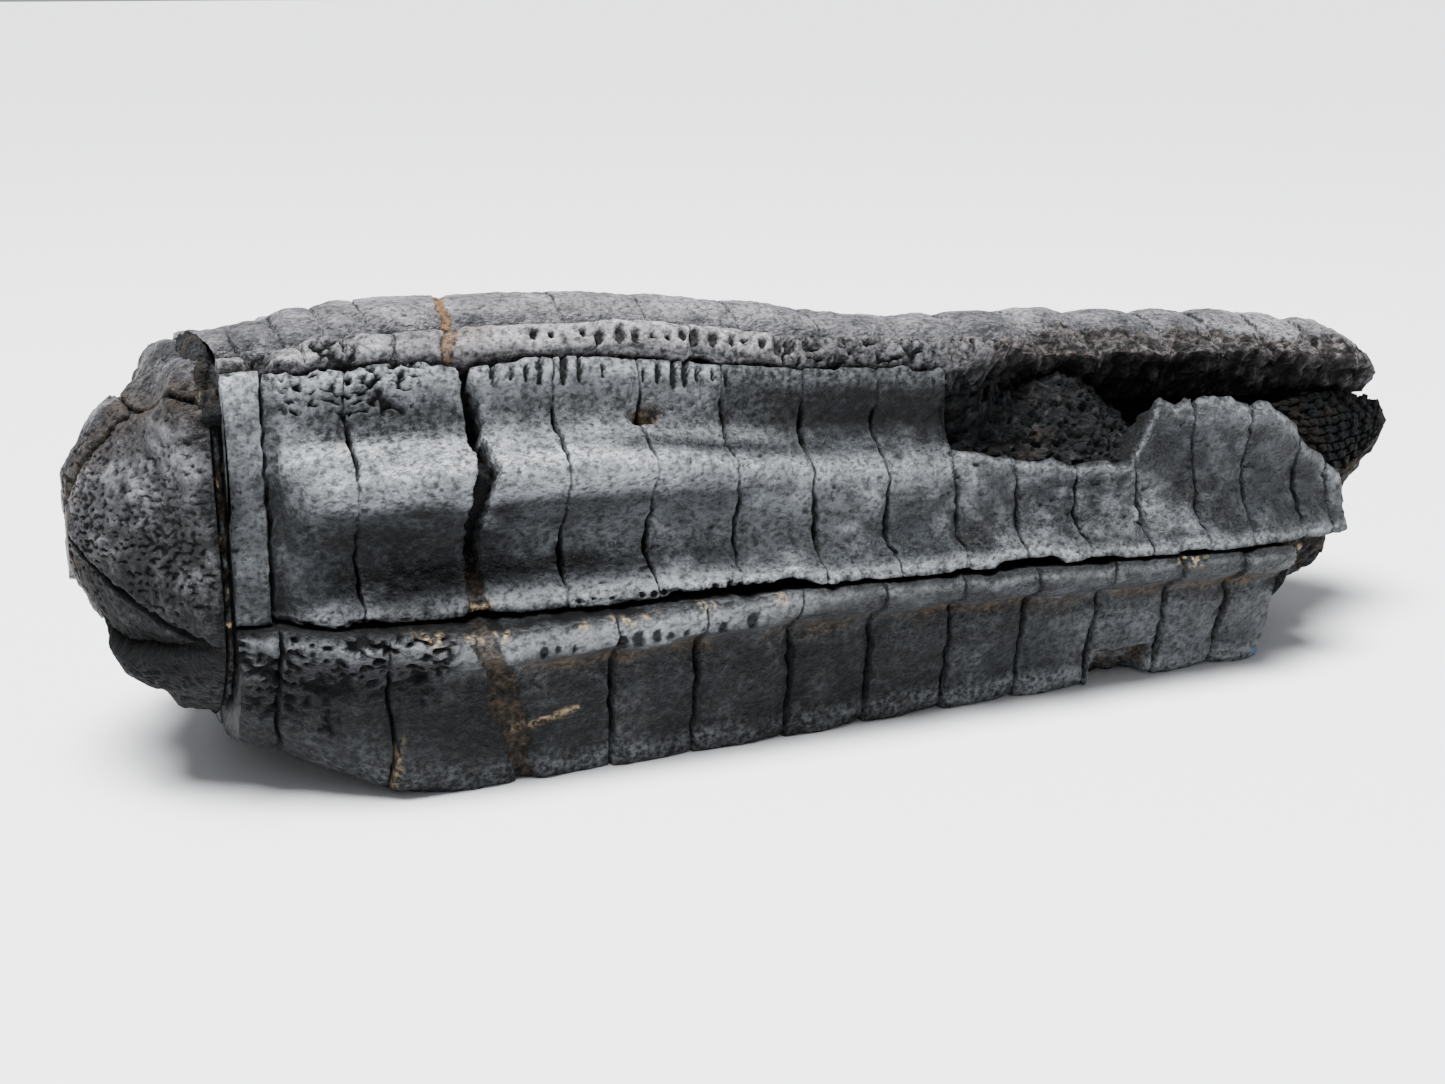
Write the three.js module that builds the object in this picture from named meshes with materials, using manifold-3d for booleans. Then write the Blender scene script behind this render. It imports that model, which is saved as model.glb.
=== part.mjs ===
// A fossil crinoid crown (a sea lily's head) that lies on its side: a cup of fused plates, five broad
// unbranched arms closed round it, and the hardened sediment that fills the crown and shows where an
// arm is broken away. Millimetres, +Z up, +X from the cup to the arm tips, the front is -Y.

import * as THREE from 'three';
import { mergeVertices } from 'three/addons/utils/BufferGeometryUtils.js';
import Module from 'manifold-3d';

const wasm = await Module();
wasm.setup();

// ---- driving sizes ----

const CUP_FACE_X = -83.8; // the cup's flat face towards the arms
const CUP_MIDDLE_X = -80; // the cup's heights count from the axis here
const CUP_MIDDLE_UP = 9; // the shares of its plates meet this far above the axis
const ARM_BASE_X = -82.3;
const BAR_END_X = -77.9; // the low first plate of each arm, a plain bar, ends here
const RELIEF_X = -71; // from here on the arms carry their full keel
const RAMP_X = -74.5; // half of it here
const AXIS = { x: -54, height: 23.3, slope: -0.0317 }; // the crown's middle line above the floor
const CLEARANCE = 0.3; // between neighbouring pieces
const ARM_INNER = [[ARM_BASE_X, 17], [60, 17], [76, 16.5], [100, 15]]; // radius of the arms' inside
const INNER_STEPS = 3; // flats across an arm's inside
const SUTURE = { width: 1.1, depth: 0.9 }; // the groove between two plates
const FRACTURE = { width: 2.4, depth: 3.2 }; // the old break that crosses the whole crown
const TRIM_SIZE = 120; // size of the blocks that cut pieces flat

const STONE = { color: 0x5b6168, roughness: 0.72, metalness: 0 };
const CUP_STONE = { color: 0x625f63, roughness: 0.74, metalness: 0 };
const SEDIMENT = { color: 0x2f302e, roughness: 0.9, metalness: 0 };

// Seams between neighbouring arms: angle round the axis in degrees, from the front upwards, along X.
const SEAMS = {
  underside: [[ARM_BASE_X, -80], [100, -80]],
  lowFront: [[ARM_BASE_X, -4], [-43, -3], [-10, 0], [48, -1], [76, -2]],
  topFront: [[ARM_BASE_X, 52], [-43, 53.5], [-31, 54], [-10, 50.5], [100, 50]],
  topRear: [[ARM_BASE_X, 127], [100, 126]],
  rear: [[ARM_BASE_X, 204], [100, 205]],
  undersideTurned: [[ARM_BASE_X, 280], [100, 280]],
};

// Each arm is drawn by its cross-sections: radii at fixed shares of the way from its low seam to its
// high seam. A pinnule flange runs along each seam, then a trough, and the keel in the middle.
const ARMS = [
  {
    name: 'arm_front_low',
    low: SEAMS.underside,
    high: SEAMS.lowFront,
    shares: [0, 0.2, 0.38, 0.48, 0.58, 0.75, 0.86, 0.93, 1],
    sections: [
      [ARM_BASE_X, [20.5, 21, 22.6, 23.6, 23.8, 23.6, 23.4, 23.2, 23]],
      [RELIEF_X, [21, 22, 26.4, 29.4, 30, 28.2, 27, 28.4, 28]],
      [-65.6, [21, 22.9, 29, 33.4, 34, 30.2, 28.4, 30, 29.6]],
      [-58, [21, 22.9, 29.7, 34.4, 33.8, 30.2, 29, 31.2, 30.8]],
      [-43, [21, 22.9, 29.7, 34.6, 32.7, 30.2, 29.2, 31.7, 31.3]],
      [7, [20, 21.5, 27, 31.2, 29.4, 27.6, 26.9, 30.2, 30.8]],
      [63.5, [19.5, 20.5, 25.2, 28.6, 27.4, 26.4, 26, 28.6, 29]],
    ],
    sutures: [BAR_END_X, -65.6, -37.9, -26.7, -13.7, -1.9, 10.1, 21.4, 33.2, 44.4, 54.7],
    fracture: -51.2,
    end: 63.5,
  },
  {
    name: 'arm_front',
    low: SEAMS.lowFront,
    high: SEAMS.topFront,
    shares: [0, 0.06, 0.15, 0.25, 0.35, 0.45, 0.57, 0.7, 0.85, 1],
    sections: [
      [ARM_BASE_X, [23, 22.9, 23, 23.3, 23.9, 24.7, 26, 28.1, 31.8, 37]],
      [BAR_END_X + 1, [23, 22.9, 23, 23.3, 23.9, 24.7, 26, 28.1, 31.8, 37]],
      [RELIEF_X, [26.5, 26, 24.4, 22.9, 23.8, 26.2, 31.6, 31.7, 31, 36.8]],
      [-43, [27.3, 26.6, 24.6, 22.6, 23.6, 26.7, 32.7, 32.3, 30.9, 36.8]],
      [-31, [28.6, 28, 26, 24.6, 25.6, 28.6, 32.3, 31, 29.9, 35.2]],
      [-10, [31.2, 30.2, 27.6, 26.6, 27.2, 28.4, 29.6, 28.2, 28.6, 34.2]],
      [20, [30, 28.9, 26.4, 25.7, 26, 27, 27.4, 26.8, 27.7, 33.4]],
      [48, [30.4, 29.2, 27.1, 26.2, 25.9, 26.2, 27.2, 30, 32, 33]],
      [62, [28.2, 27.4, 26, 25, 24.8, 25.4, 28, 31, 32, 33]],
      [76, [25.4, 24.8, 23.8, 23.1, 23.1, 23.8, 25.5, 28, 29, 30]],
    ],
    sutures: [BAR_END_X, -68, -42.9, -31.7, -20.7, -10, 0.6, 11, 20.1, 29.4, 39.1, 48.3, 57.1, 66.3, 72.2],
    fracture: -55,
    end: 75.5,
  },
  {
    name: 'arm_top',
    low: SEAMS.topFront,
    high: SEAMS.topRear,
    shares: [0, 0.05, 0.12, 0.22, 0.36, 0.5, 0.64, 0.78, 0.88, 0.95, 1],
    sections: [
      [ARM_BASE_X, [37, 35.8, 33.4, 30.6, 28.9, 28.6, 28.4, 29, 30, 31, 31.6]],
      [-75, [37, 35.8, 33.4, 30.2, 29.6, 30, 29.2, 29, 30.4, 31.6, 32]],
      [RELIEF_X, [36.8, 37.6, 34, 29.6, 30.8, 31.4, 30.6, 29, 31.4, 33, 32.3]],
      [-60, [36.8, 38.1, 34.3, 29.4, 31.8, 33, 31.8, 29, 31.8, 33.7, 32.3]],
      [-35, [36.8, 38.3, 34.3, 29.4, 32, 33.2, 32, 29, 31.8, 33.7, 32.3]],
      [-10, [34.6, 36.4, 32.4, 27.8, 30.2, 31.2, 30.2, 27.8, 30.4, 32.2, 31]],
      [12, [33.4, 34.8, 30.8, 26.4, 27.4, 28, 27.4, 26, 28.4, 30.4, 29.6]],
      [34, [32, 32.8, 29.6, 26, 27.2, 28.2, 27.4, 25.6, 27.8, 29.4, 28.6]],
      [68, [29, 29, 27.6, 25.4, 26.4, 27.2, 26.4, 24.6, 26.4, 27.6, 27]],
      [86, [24, 24, 24, 24, 24.6, 25, 24.4, 23.4, 24, 24.6, 24]],
      [93.5, [19.4, 19.4, 19.4, 19.8, 20.6, 21.2, 20.4, 19.6, 19.4, 19.2, 18.8]],
    ],
    sutures: [BAR_END_X, -72.6, -67.4, -62, -36.7, -24.8, -12.5, -0.5, 11.8, 21.9, 32, 42.1, 53.4, 62.2,
      71.2, 80.5, 88.2],
    fracture: -49,
    bulge: { from: 5, height: 0.9 }, // towards the tip the plates swell like shingles
    end: 93.5,
  },
  {
    name: 'arm_rear_high',
    low: SEAMS.topRear,
    high: SEAMS.rear,
    shares: [0, 0.1, 0.27, 0.5, 0.73, 0.9, 1],
    sections: [
      [ARM_BASE_X, [31.6, 29.2, 26, 24.6, 25.4, 27.6, 29.5]],
      [RELIEF_X, [32.3, 33.2, 28.2, 31, 28, 30, 29.5]],
      [-43, [32.3, 33.5, 28.5, 32, 28.5, 31, 29.5]],
      [7, [29.6, 30.6, 26, 29, 26, 28, 27]],
      [72, [26.6, 27, 23.8, 26, 23.8, 25, 24.6]],
    ],
    sutures: [BAR_END_X, -67, -37, -25, -13, -1, 11, 22, 32.5, 43, 53.5, 63.5],
    fracture: -50,
    end: 72,
  },
  {
    name: 'arm_rear_low',
    low: SEAMS.rear,
    high: SEAMS.undersideTurned,
    shares: [0, 0.1, 0.27, 0.5, 0.73, 0.9, 1],
    sections: [
      [ARM_BASE_X, [29.5, 27.4, 24.6, 22.6, 21.4, 20.8, 20.5]],
      [RELIEF_X, [29.5, 30, 25.4, 27, 22, 21.6, 21]],
      [-43, [29.5, 30, 25.5, 27, 22, 21.8, 21]],
      [7, [27, 27.5, 23.8, 25.2, 20.8, 20.6, 20]],
      [53.5, [25, 25.4, 22.2, 23.5, 19.6, 19.6, 19.5]],
    ],
    sutures: [BAR_END_X, -66, -38, -26, -14, -2, 10, 21, 32, 43],
    fracture: -51,
    end: 53.5,
  },
];

// The cup's plates: five radials stand under the arms, five basals lie between them towards the stem.
// Each is a dome, given by its middle (x, front, height above the axis) and radius, and takes its share
// of the cup round the direction it faces (x, front, up).
const CUP_PLATES = [
  { name: 'radial_front', faces: [-0.74, 0.76, -0.12], at: [-49.5, -25, 0.7], radius: 60 },
  { name: 'radial_top', faces: [0.1, -0.15, 1.25], at: [-65, 5.5, -6.6], radius: 40 },
  { name: 'radial_front_low', faces: [-0.4, 0.32, -1.06], at: [-72.2, 1.2, 7.6], radius: 27 },
  { name: 'radial_rear_high', faces: [-0.7, -0.7, 0.17], at: [-66, 17.5, 3.4], radius: 45 },
  { name: 'radial_rear_low', faces: [-0.67, -0.35, -0.66], at: [-71.7, 4.6, 19.6], radius: 40 },
  { name: 'basal_front', faces: [-0.76, 0.54, -0.51], at: [-44.7, -19, 9], radius: 60 },
  { name: 'basal_top', faces: [-0.82, -0.1, 0.47], at: [-66.5, -3.2, 5.1], radius: 34 },
  { name: 'basal_rear_high', faces: [-0.75, -0.4, 0.45], at: [-69.5, 8.5, -3.8], radius: 36 },
  { name: 'basal_rear', faces: [-0.88, -0.43, -0.19], at: [-62.6, 9.2, 11.8], radius: 40 },
  { name: 'basal_underside', faces: [-0.85, 0.02, -0.6], at: [-62.4, 2.4, 16.5], radius: 40 },
];
const CUP_RIM = [[-90, 9], [-87, 2], [-85.5, 0.4], [CUP_FACE_X, 0]]; // X, and depth below the arms
const CUP_RIM_REACH = { at: [CUP_MIDDLE_X, 0, CUP_MIDDLE_UP], radius: 26.8 };
const CUP_LOBE = { plate: 'radial_front_low', at: [-85.3, 10, -1.6], radius: 11.1 }; // its swelling
const JOINT_DEPTH = 1.6; // the sediment's sheet between cup and arms lies this deep
const CUP_GROOVE = { width: 0.8, depth: 1.2 };
const CUP_CRACK = { plates: ['radial_front', 'basal_front'], width: 1.5 };
const DOME_DETAIL = 4;
const LOBE_DETAIL = 2;

// Where the front arm's upper side is broken away, and the top arm's near flange with it:
// angle of the broken edge along X, in degrees.
const FRONT_BREAK = [[10.9, 33], [20.5, 28.2], [29, 26.8], [38.4, 26.5], [40.3, 32.3], [42.6, 40.2],
  [51, 39.4], [59.6, 37.4], [66, 30.2], [71, 24.6], [75, 19], [80, 19]];
const TOP_BREAK = [[16, 49], [24.3, 60], [35.5, 69], [44, 68], [53, 66], [64, 65], [75.6, 62], [88, 66],
  [98, 74]];
const TOP_BREAK_UNDERCUT = 9; // the broken flank leans in under the arm, degrees
const BREAK_REACH = { outer: 60, inner: 8 }; // radii between which a break cuts

// The keel plates chipped off near the front low arm's end.
const CHIP = { from: 33.8, to: 43.8, low: -56, high: -38, floor: 25.4 };

// The crown's sediment: middle line and radius along X where it runs out past the arms.
const FILL = [
  { x: 60, front: 0, up: 0, radius: 16.7 },
  { x: 70, front: 0, up: 1, radius: 15.2 },
  { x: 80, front: 1, up: 2.5, radius: 12.4 },
  { x: 89, front: 1.6, up: 6, radius: 8.2 },
  { x: 97.5, front: 3, up: 10.5, radius: 3.4 },
];
const GRIT = 0.55; // roughness of broken sediment

// The rough patch laid bare where the front arm is broken: stations along X, radii from its low edge up,
// how far it sinks away at its end, and how far it keeps from the broken edges, in degrees.
const BARE = {
  xs: [11.6, 15, 19, 23.5, 28, 32, 36, 38.4, 40.4, 42.8, 45],
  inner: 12,
  radii: [23.6, 22.4, 21.8, 21.6, 21.4, 20.6],
  sinks: [[35, 0], [45, 5]],
  lowClear: [[36, 1.5], [38.4, 4.5], [45, 5]],
  highClear: 3,
};

// The dark hollow under the top arm's broken flank: high edge along X, and its floor.
const HOLLOW = { high: [[43.5, 62], [50, 80], [70, 80], [80, 62]], clear: 6, floor: 13.6, reach: 30 };

// The lump of sediment that sticks out past the end of the front low arm.
const LUMP = {
  xs: [64.2, 68, 72, 76, 80],
  low: -64,
  high: -4.5,
  inner: [[64, 12], [80, 8]],
  radii: [16.5, 19, 20.5, 20.5, 20],
  taper: 0.3,
  grit: 0.77,
};

// The bundle of packed pinnules at the tip: angles and radii along X.
const PINNULES = {
  from: 61,
  to: 95,
  rows: 13,
  ranks: 7,
  step: 0.4,
  low: [[61, 38.5], [66, 33], [71, 27], [75, 22], [82, 25], [88, 33], [95, 46]],
  high: [[61, 44], [70, 50], [80, 56], [95, 66]],
  inner: [[61, 12], [80, 9], [95, 8.5]],
  lowRadius: [[61, 19.5], [76, 19.5], [88, 12.4], [95, 9.5]],
  highRadius: [[61, 19.5], [76, 20], [88, 17.4], [95, 14.6]],
};

// ---- small tools ----

const radians = THREE.MathUtils.degToRad;

function along(table, x) {
  const next = table.findIndex(([at]) => at >= x);
  if (next === -1) return table[table.length - 1][1];
  if (next === 0) return table[0][1];
  const [[x0, a], [x1, b]] = [table[next - 1], table[next]];
  return THREE.MathUtils.mapLinear(x, x0, x1, a, b);
}

function sectionAt(sections, x) {
  return sections[0][1].map((_, i) => along(sections.map(([at, radii]) => [at, radii[i]]), x));
}

const axisHeight = (x) => AXIS.height + AXIS.slope * (x - AXIS.x);

// A point at an angle round the crown's axis.
function polar(x, degrees, radius) {
  const angle = radians(degrees);
  return new THREE.Vector3(x, -radius * Math.cos(angle), axisHeight(x) + radius * Math.sin(angle));
}

// A repeatable scatter between -1 and 1, for broken surfaces.
function scatter(i, j) {
  const wave = Math.sin(i * 12.9898 + j * 78.233) * 43758.5453;
  return 2 * (wave - Math.floor(wave)) - 1;
}

// Above zero when a triangle of a ring's points faces along +X.
function turnAlongX(ring, [a, b, c]) {
  const [u, v] = [ring[b].clone().sub(ring[a]), ring[c].clone().sub(ring[a])];
  return u.cross(v).x;
}

// A closed solid through rings of points, each ring in a plane across X and in order round the axis.
function loft(rings) {
  const count = rings[0].length;
  const index = [];
  for (let k = 0; k + 1 < rings.length; k += 1) {
    for (let i = 0; i < count; i += 1) {
      const [a, b] = [k * count + i, k * count + ((i + 1) % count)];
      const [d, c] = [a + count, b + count];
      index.push(a, d, c, a, c, b);
    }
  }
  for (const [k, facing] of [[0, -1], [rings.length - 1, 1]]) {
    const flat = rings[k].map((point) => new THREE.Vector2(point.y, point.z));
    for (const triangle of THREE.ShapeUtils.triangulateShape(flat, [])) {
      const [a, b, c] = triangle;
      const turned = turnAlongX(rings[k], triangle) * facing > 0 ? [a, b, c] : [a, c, b];
      index.push(...turned.map((i) => i + k * count));
    }
  }
  const geometry = new THREE.BufferGeometry();
  geometry.setFromPoints(rings.flat());
  geometry.setIndex(index);
  return geometry;
}

function toSolid(geometry) {
  const bare = geometry.clone();
  bare.deleteAttribute('normal');
  bare.deleteAttribute('uv');
  const merged = mergeVertices(bare, 1e-4);
  return new wasm.Manifold(new wasm.Mesh({
    numProp: 3,
    vertProperties: Float32Array.from(merged.attributes.position.array),
    triVerts: Uint32Array.from(merged.index.array),
  }));
}

function toGeometry(solid) {
  const mesh = solid.getMesh();
  const geometry = new THREE.BufferGeometry();
  geometry.setAttribute('position', new THREE.BufferAttribute(Float32Array.from(mesh.vertProperties), 3));
  geometry.setIndex(new THREE.BufferAttribute(Uint32Array.from(mesh.triVerts), 1));
  return geometry;
}

// A solid between two angles and two radii; each station is { x, low, high, inner, outer: [radii] }.
function sector(stations) {
  return toSolid(loft(stations.map(({ x, low, high, inner, outer }) => {
    const last = outer.length - 1;
    const face = outer.map((radius, i) => polar(x, low + ((high - low) * i) / last, radius));
    const back = Array.from({ length: INNER_STEPS + 1 }, (_, i) => (
      polar(x, high + ((low - high) * i) / INNER_STEPS, inner)
    ));
    return [...face, ...back];
  })));
}

function block(width, depth, height, middle) {
  const geometry = new THREE.BoxGeometry(width, depth, height);
  geometry.translate(...middle);
  return toSolid(geometry);
}

// Grinds a piece flat where it lies on the floor.
function onTheFloor(solid) {
  return solid.subtract(block(2 * TRIM_SIZE, TRIM_SIZE, TRIM_SIZE, [0, 0, -TRIM_SIZE / 2]));
}

// ---- arms ----

// One cross-section of an arm: its face between the seams, then its inside.
function armRing(arm, x, sunk) {
  const halfGap = THREE.MathUtils.radToDeg(CLEARANCE / 2 / along(ARM_INNER, x));
  const low = along(arm.low, x) + halfGap;
  const high = along(arm.high, x) - halfGap;
  const radii = sectionAt(arm.sections, x);
  const face = radii.map((radius, i) => polar(x, low + (high - low) * arm.shares[i], radius - sunk));
  const inside = Array.from({ length: INNER_STEPS + 1 }, (_, i) => (
    polar(x, high + ((low - high) * i) / INNER_STEPS, along(ARM_INNER, x))
  ));
  return [...face, ...inside];
}

// Stations along an arm: two rims and a bottom at each suture, flat-bottomed at the old fracture.
function armStations(arm) {
  const stations = [[ARM_BASE_X, 0], [RAMP_X, 0], [RELIEF_X, 0], [arm.end, 0]];
  for (const x of arm.sutures) {
    stations.push([x - SUTURE.width / 2, 0], [x, SUTURE.depth], [x + SUTURE.width / 2, 0]);
  }
  const half = FRACTURE.width / 2;
  stations.push([arm.fracture - half, 0], [arm.fracture - half + 0.4, FRACTURE.depth]);
  stations.push([arm.fracture + half - 0.4, FRACTURE.depth], [arm.fracture + half, 0]);
  if (arm.bulge) {
    const edges = [...arm.sutures.filter((x) => x >= arm.bulge.from), arm.end];
    for (let i = 0; i + 1 < edges.length; i += 1) {
      stations.push([(edges[i] + edges[i + 1]) / 2, -arm.bulge.height]);
    }
  }
  return stations.sort((a, b) => a[0] - b[0]);
}

function buildArm(arm) {
  return onTheFloor(toSolid(loft(armStations(arm).map(([x, sunk]) => armRing(arm, x, sunk)))));
}

// The outline of all five arms where they start, at another place along X.
function armsOutline(x, sunk) {
  return ARMS.flatMap((arm) => armRing(arm, ARM_BASE_X, sunk)
    .slice(0, arm.shares.length - 1)
    .map((point) => new THREE.Vector3(x, point.y, point.z)));
}

// Everything past a broken edge, up to an angle well clear of the arm.
function breakTool(edge, far, undercut) {
  return toSolid(loft(edge.map(([x, angle]) => [
    polar(x, Math.min(angle, far), BREAK_REACH.outer),
    polar(x, Math.max(angle, far), BREAK_REACH.outer),
    polar(x, Math.max(angle + undercut, far), BREAK_REACH.inner),
    polar(x, Math.min(angle + undercut, far), BREAK_REACH.inner),
  ])));
}

function chipTool() {
  const stations = [CHIP.from, (CHIP.from + CHIP.to) / 2, CHIP.to].map((x, i) => ({
    x,
    low: CHIP.low,
    high: CHIP.high,
    inner: CHIP.floor + GRIT * scatter(i, 5),
    outer: Array(3).fill(BREAK_REACH.outer),
  }));
  return sector(stations);
}

// ---- cup ----

const cupMiddle = new THREE.Vector3(CUP_MIDDLE_X, 0, axisHeight(CUP_MIDDLE_X) + CUP_MIDDLE_UP);

function dome({ at: [x, front, up], radius }, shrink, detail = DOME_DETAIL) {
  const geometry = new THREE.IcosahedronGeometry(radius - shrink, detail);
  geometry.translate(x, -front, axisHeight(CUP_MIDDLE_X) + up);
  return toSolid(geometry);
}

// The half of space nearer to one plate's direction than to its neighbour's, less half their groove.
function ownSide(plate, neighbour) {
  const [facing, other] = [plate, neighbour].map(({ faces: [x, front, up] }) => (
    new THREE.Vector3(x, -front, up)
  ));
  const cracked = [plate, neighbour].every(({ name }) => CUP_CRACK.plates.includes(name));
  const groove = cracked ? CUP_CRACK.width : CUP_GROOVE.width;
  const geometry = new THREE.BoxGeometry(TRIM_SIZE, TRIM_SIZE, TRIM_SIZE);
  geometry.translate(0, 0, groove / 2 + TRIM_SIZE / 2);
  geometry.applyQuaternion(new THREE.Quaternion().setFromUnitVectors(
    new THREE.Vector3(0, 0, 1),
    facing.sub(other).normalize(),
  ));
  geometry.translate(...cupMiddle);
  return toSolid(geometry);
}

// The rim that meets the arms, in their outline but drawn in underneath.
function cupRim() {
  const outline = toSolid(loft(CUP_RIM.map(([x, sunk]) => armsOutline(x, sunk))));
  return outline.intersect(dome(CUP_RIM_REACH, 0));
}

function buildCup() {
  const face = block(TRIM_SIZE, TRIM_SIZE, 2 * TRIM_SIZE, [CUP_FACE_X - TRIM_SIZE / 2, 0, 0]);
  const [whole, core] = [0, CUP_GROOVE.depth].map((sunk) => CUP_PLATES
    .map((plate) => dome(plate, sunk))
    .reduce((a, b) => a.intersect(b))
    .intersect(face));
  const rimmed = whole.add(cupRim());
  const swollen = rimmed.add(dome(CUP_LOBE, 0, LOBE_DETAIL).intersect(face));
  const plates = CUP_PLATES.map((plate) => CUP_PLATES
    .filter((other) => other !== plate)
    .reduce(
      (piece, other) => piece.intersect(ownSide(plate, other)),
      plate.name === CUP_LOBE.plate ? swollen : rimmed,
    ));
  return onTheFloor(plates.reduce((a, b) => a.add(b), core));
}

// ---- sediment ----

function fillRing({ x, front, up, radius }) {
  return ARMS.flatMap((arm) => Array.from({ length: INNER_STEPS }, (_, i) => {
    const low = along(arm.low, x);
    const point = polar(x, low + ((along(arm.high, x) - low) * i) / INNER_STEPS, radius);
    return point.add(new THREE.Vector3(0, -front, up));
  }));
}

function bareSediment() {
  return sector(BARE.xs.map((x, i) => ({
    x,
    low: along(FRONT_BREAK, x) + along(BARE.lowClear, x),
    high: Math.max(along(TOP_BREAK, x), along(SEAMS.topFront, x)) - BARE.highClear,
    inner: BARE.inner,
    outer: BARE.radii.map((radius, j) => radius - along(BARE.sinks, x) + GRIT * scatter(i, j)),
  })));
}

// Packed pinnules between the arm tips: rows of little blocks.
function pinnuleRows() {
  const { from, to, rows, ranks, step } = PINNULES;
  return sector(Array.from({ length: rows }, (_, i) => {
    const x = THREE.MathUtils.mapLinear(i, 0, rows - 1, from, to);
    const [lowRadius, highRadius] = [along(PINNULES.lowRadius, x), along(PINNULES.highRadius, x)];
    return {
      x,
      low: along(PINNULES.low, x),
      high: along(PINNULES.high, x),
      inner: along(PINNULES.inner, x),
      outer: Array.from({ length: ranks }, (__, j) => (
        lowRadius + ((highRadius - lowRadius) * j) / (ranks - 1) + step * (-1) ** (i + j)
      )),
    };
  }));
}

function endLump() {
  return sector(LUMP.xs.map((x, i) => ({
    x,
    low: LUMP.low,
    high: LUMP.high,
    inner: along(LUMP.inner, x),
    outer: LUMP.radii.map((radius, j) => (
      radius - LUMP.taper * (x - LUMP.xs[0]) + LUMP.grit * scatter(i, j + 9)
    )),
  })));
}

function hollowTool() {
  return sector(HOLLOW.high.map(([x, high]) => ({
    x,
    low: along(FRONT_BREAK, x) + HOLLOW.clear,
    high,
    inner: HOLLOW.floor,
    outer: Array(4).fill(HOLLOW.reach),
  })));
}

function buildFill() {
  const start = CUP_FACE_X + CLEARANCE;
  const joint = toSolid(loft([start, ARM_BASE_X - CLEARANCE].map((x) => armsOutline(x, JOINT_DEPTH))));
  const first = { ...FILL[0], x: start + CLEARANCE };
  const tube = toSolid(loft([first, ...FILL].map(fillRing)));
  return tube.add(joint).subtract(hollowTool()).add(bareSediment()).add(pinnuleRows()).add(endLump());
}

// ---- the whole crown ----

const farPastFront = 62;
const farPastTop = 40;
const solids = Object.fromEntries(ARMS.map((arm) => [arm.name, buildArm(arm)]));
solids.arm_front = solids.arm_front.subtract(breakTool(FRONT_BREAK, farPastFront, 0));
solids.arm_top = solids.arm_top.subtract(breakTool(TOP_BREAK, farPastTop, TOP_BREAK_UNDERCUT));
solids.arm_front_low = solids.arm_front_low.subtract(chipTool());
solids.cup = buildCup();
solids.matrix_fill = buildFill();

const finishes = { cup: CUP_STONE, matrix_fill: SEDIMENT };
const crown = new THREE.Group();
crown.name = 'crinoid_crown';
for (const [name, solid] of Object.entries(solids)) {
  const material = new THREE.MeshStandardMaterial(finishes[name] ?? STONE);
  const mesh = new THREE.Mesh(toGeometry(solid), material);
  mesh.name = name;
  crown.add(mesh);
}

// The origin is on the floor under the middle of the crown's box.
const box = new THREE.Box3().setFromObject(crown);
const middle = box.getCenter(new THREE.Vector3());
crown.position.set(-middle.x, -middle.y, -box.min.z);

export default crown;
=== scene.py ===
"""A fossil crinoid crown (a sea lily's head) lying on its side on a pale table."""
import math

import bmesh
import bpy
import numpy as np
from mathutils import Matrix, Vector


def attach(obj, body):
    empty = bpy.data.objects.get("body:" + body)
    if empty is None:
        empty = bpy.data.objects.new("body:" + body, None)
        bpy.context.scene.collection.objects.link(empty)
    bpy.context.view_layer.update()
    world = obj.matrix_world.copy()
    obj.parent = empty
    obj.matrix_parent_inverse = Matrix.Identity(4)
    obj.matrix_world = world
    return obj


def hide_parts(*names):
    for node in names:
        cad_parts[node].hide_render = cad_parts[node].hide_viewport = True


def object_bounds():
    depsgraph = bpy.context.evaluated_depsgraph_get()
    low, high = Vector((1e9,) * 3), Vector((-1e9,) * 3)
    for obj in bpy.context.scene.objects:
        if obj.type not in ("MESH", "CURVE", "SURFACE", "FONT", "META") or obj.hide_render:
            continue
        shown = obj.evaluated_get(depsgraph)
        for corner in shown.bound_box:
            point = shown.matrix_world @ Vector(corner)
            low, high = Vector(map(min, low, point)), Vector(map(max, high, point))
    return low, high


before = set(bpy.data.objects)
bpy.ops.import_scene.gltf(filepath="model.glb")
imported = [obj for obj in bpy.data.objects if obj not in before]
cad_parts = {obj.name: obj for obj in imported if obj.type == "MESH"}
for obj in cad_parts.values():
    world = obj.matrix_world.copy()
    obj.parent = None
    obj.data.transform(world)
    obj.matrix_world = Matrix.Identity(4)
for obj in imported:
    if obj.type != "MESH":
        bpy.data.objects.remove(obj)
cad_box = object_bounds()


# Cup. The short bowl of thick plates that joined the arms to the stem: five radials under the arms,
# five basals between them, all calcite turned to dark stone and welded together, with a crack opened
# between two of the front ones.

MM = 0.001
SHIFT = np.array([0.748, 0.2207, 0.0])  # from the crown's own axes to the frame, mm
AXIS_X, AXIS_HEIGHT, AXIS_SLOPE = -54.0, 23.3, -0.0317
CUP_FACE_X = -83.8
CUP_MIDDLE_X, CUP_MIDDLE_RISE = -80.0, 9.0
CUP_MIDDLE = np.array([CUP_MIDDLE_X, 0.0,
                       AXIS_HEIGHT + AXIS_SLOPE * (CUP_MIDDLE_X - AXIS_X) + CUP_MIDDLE_RISE])

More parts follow.
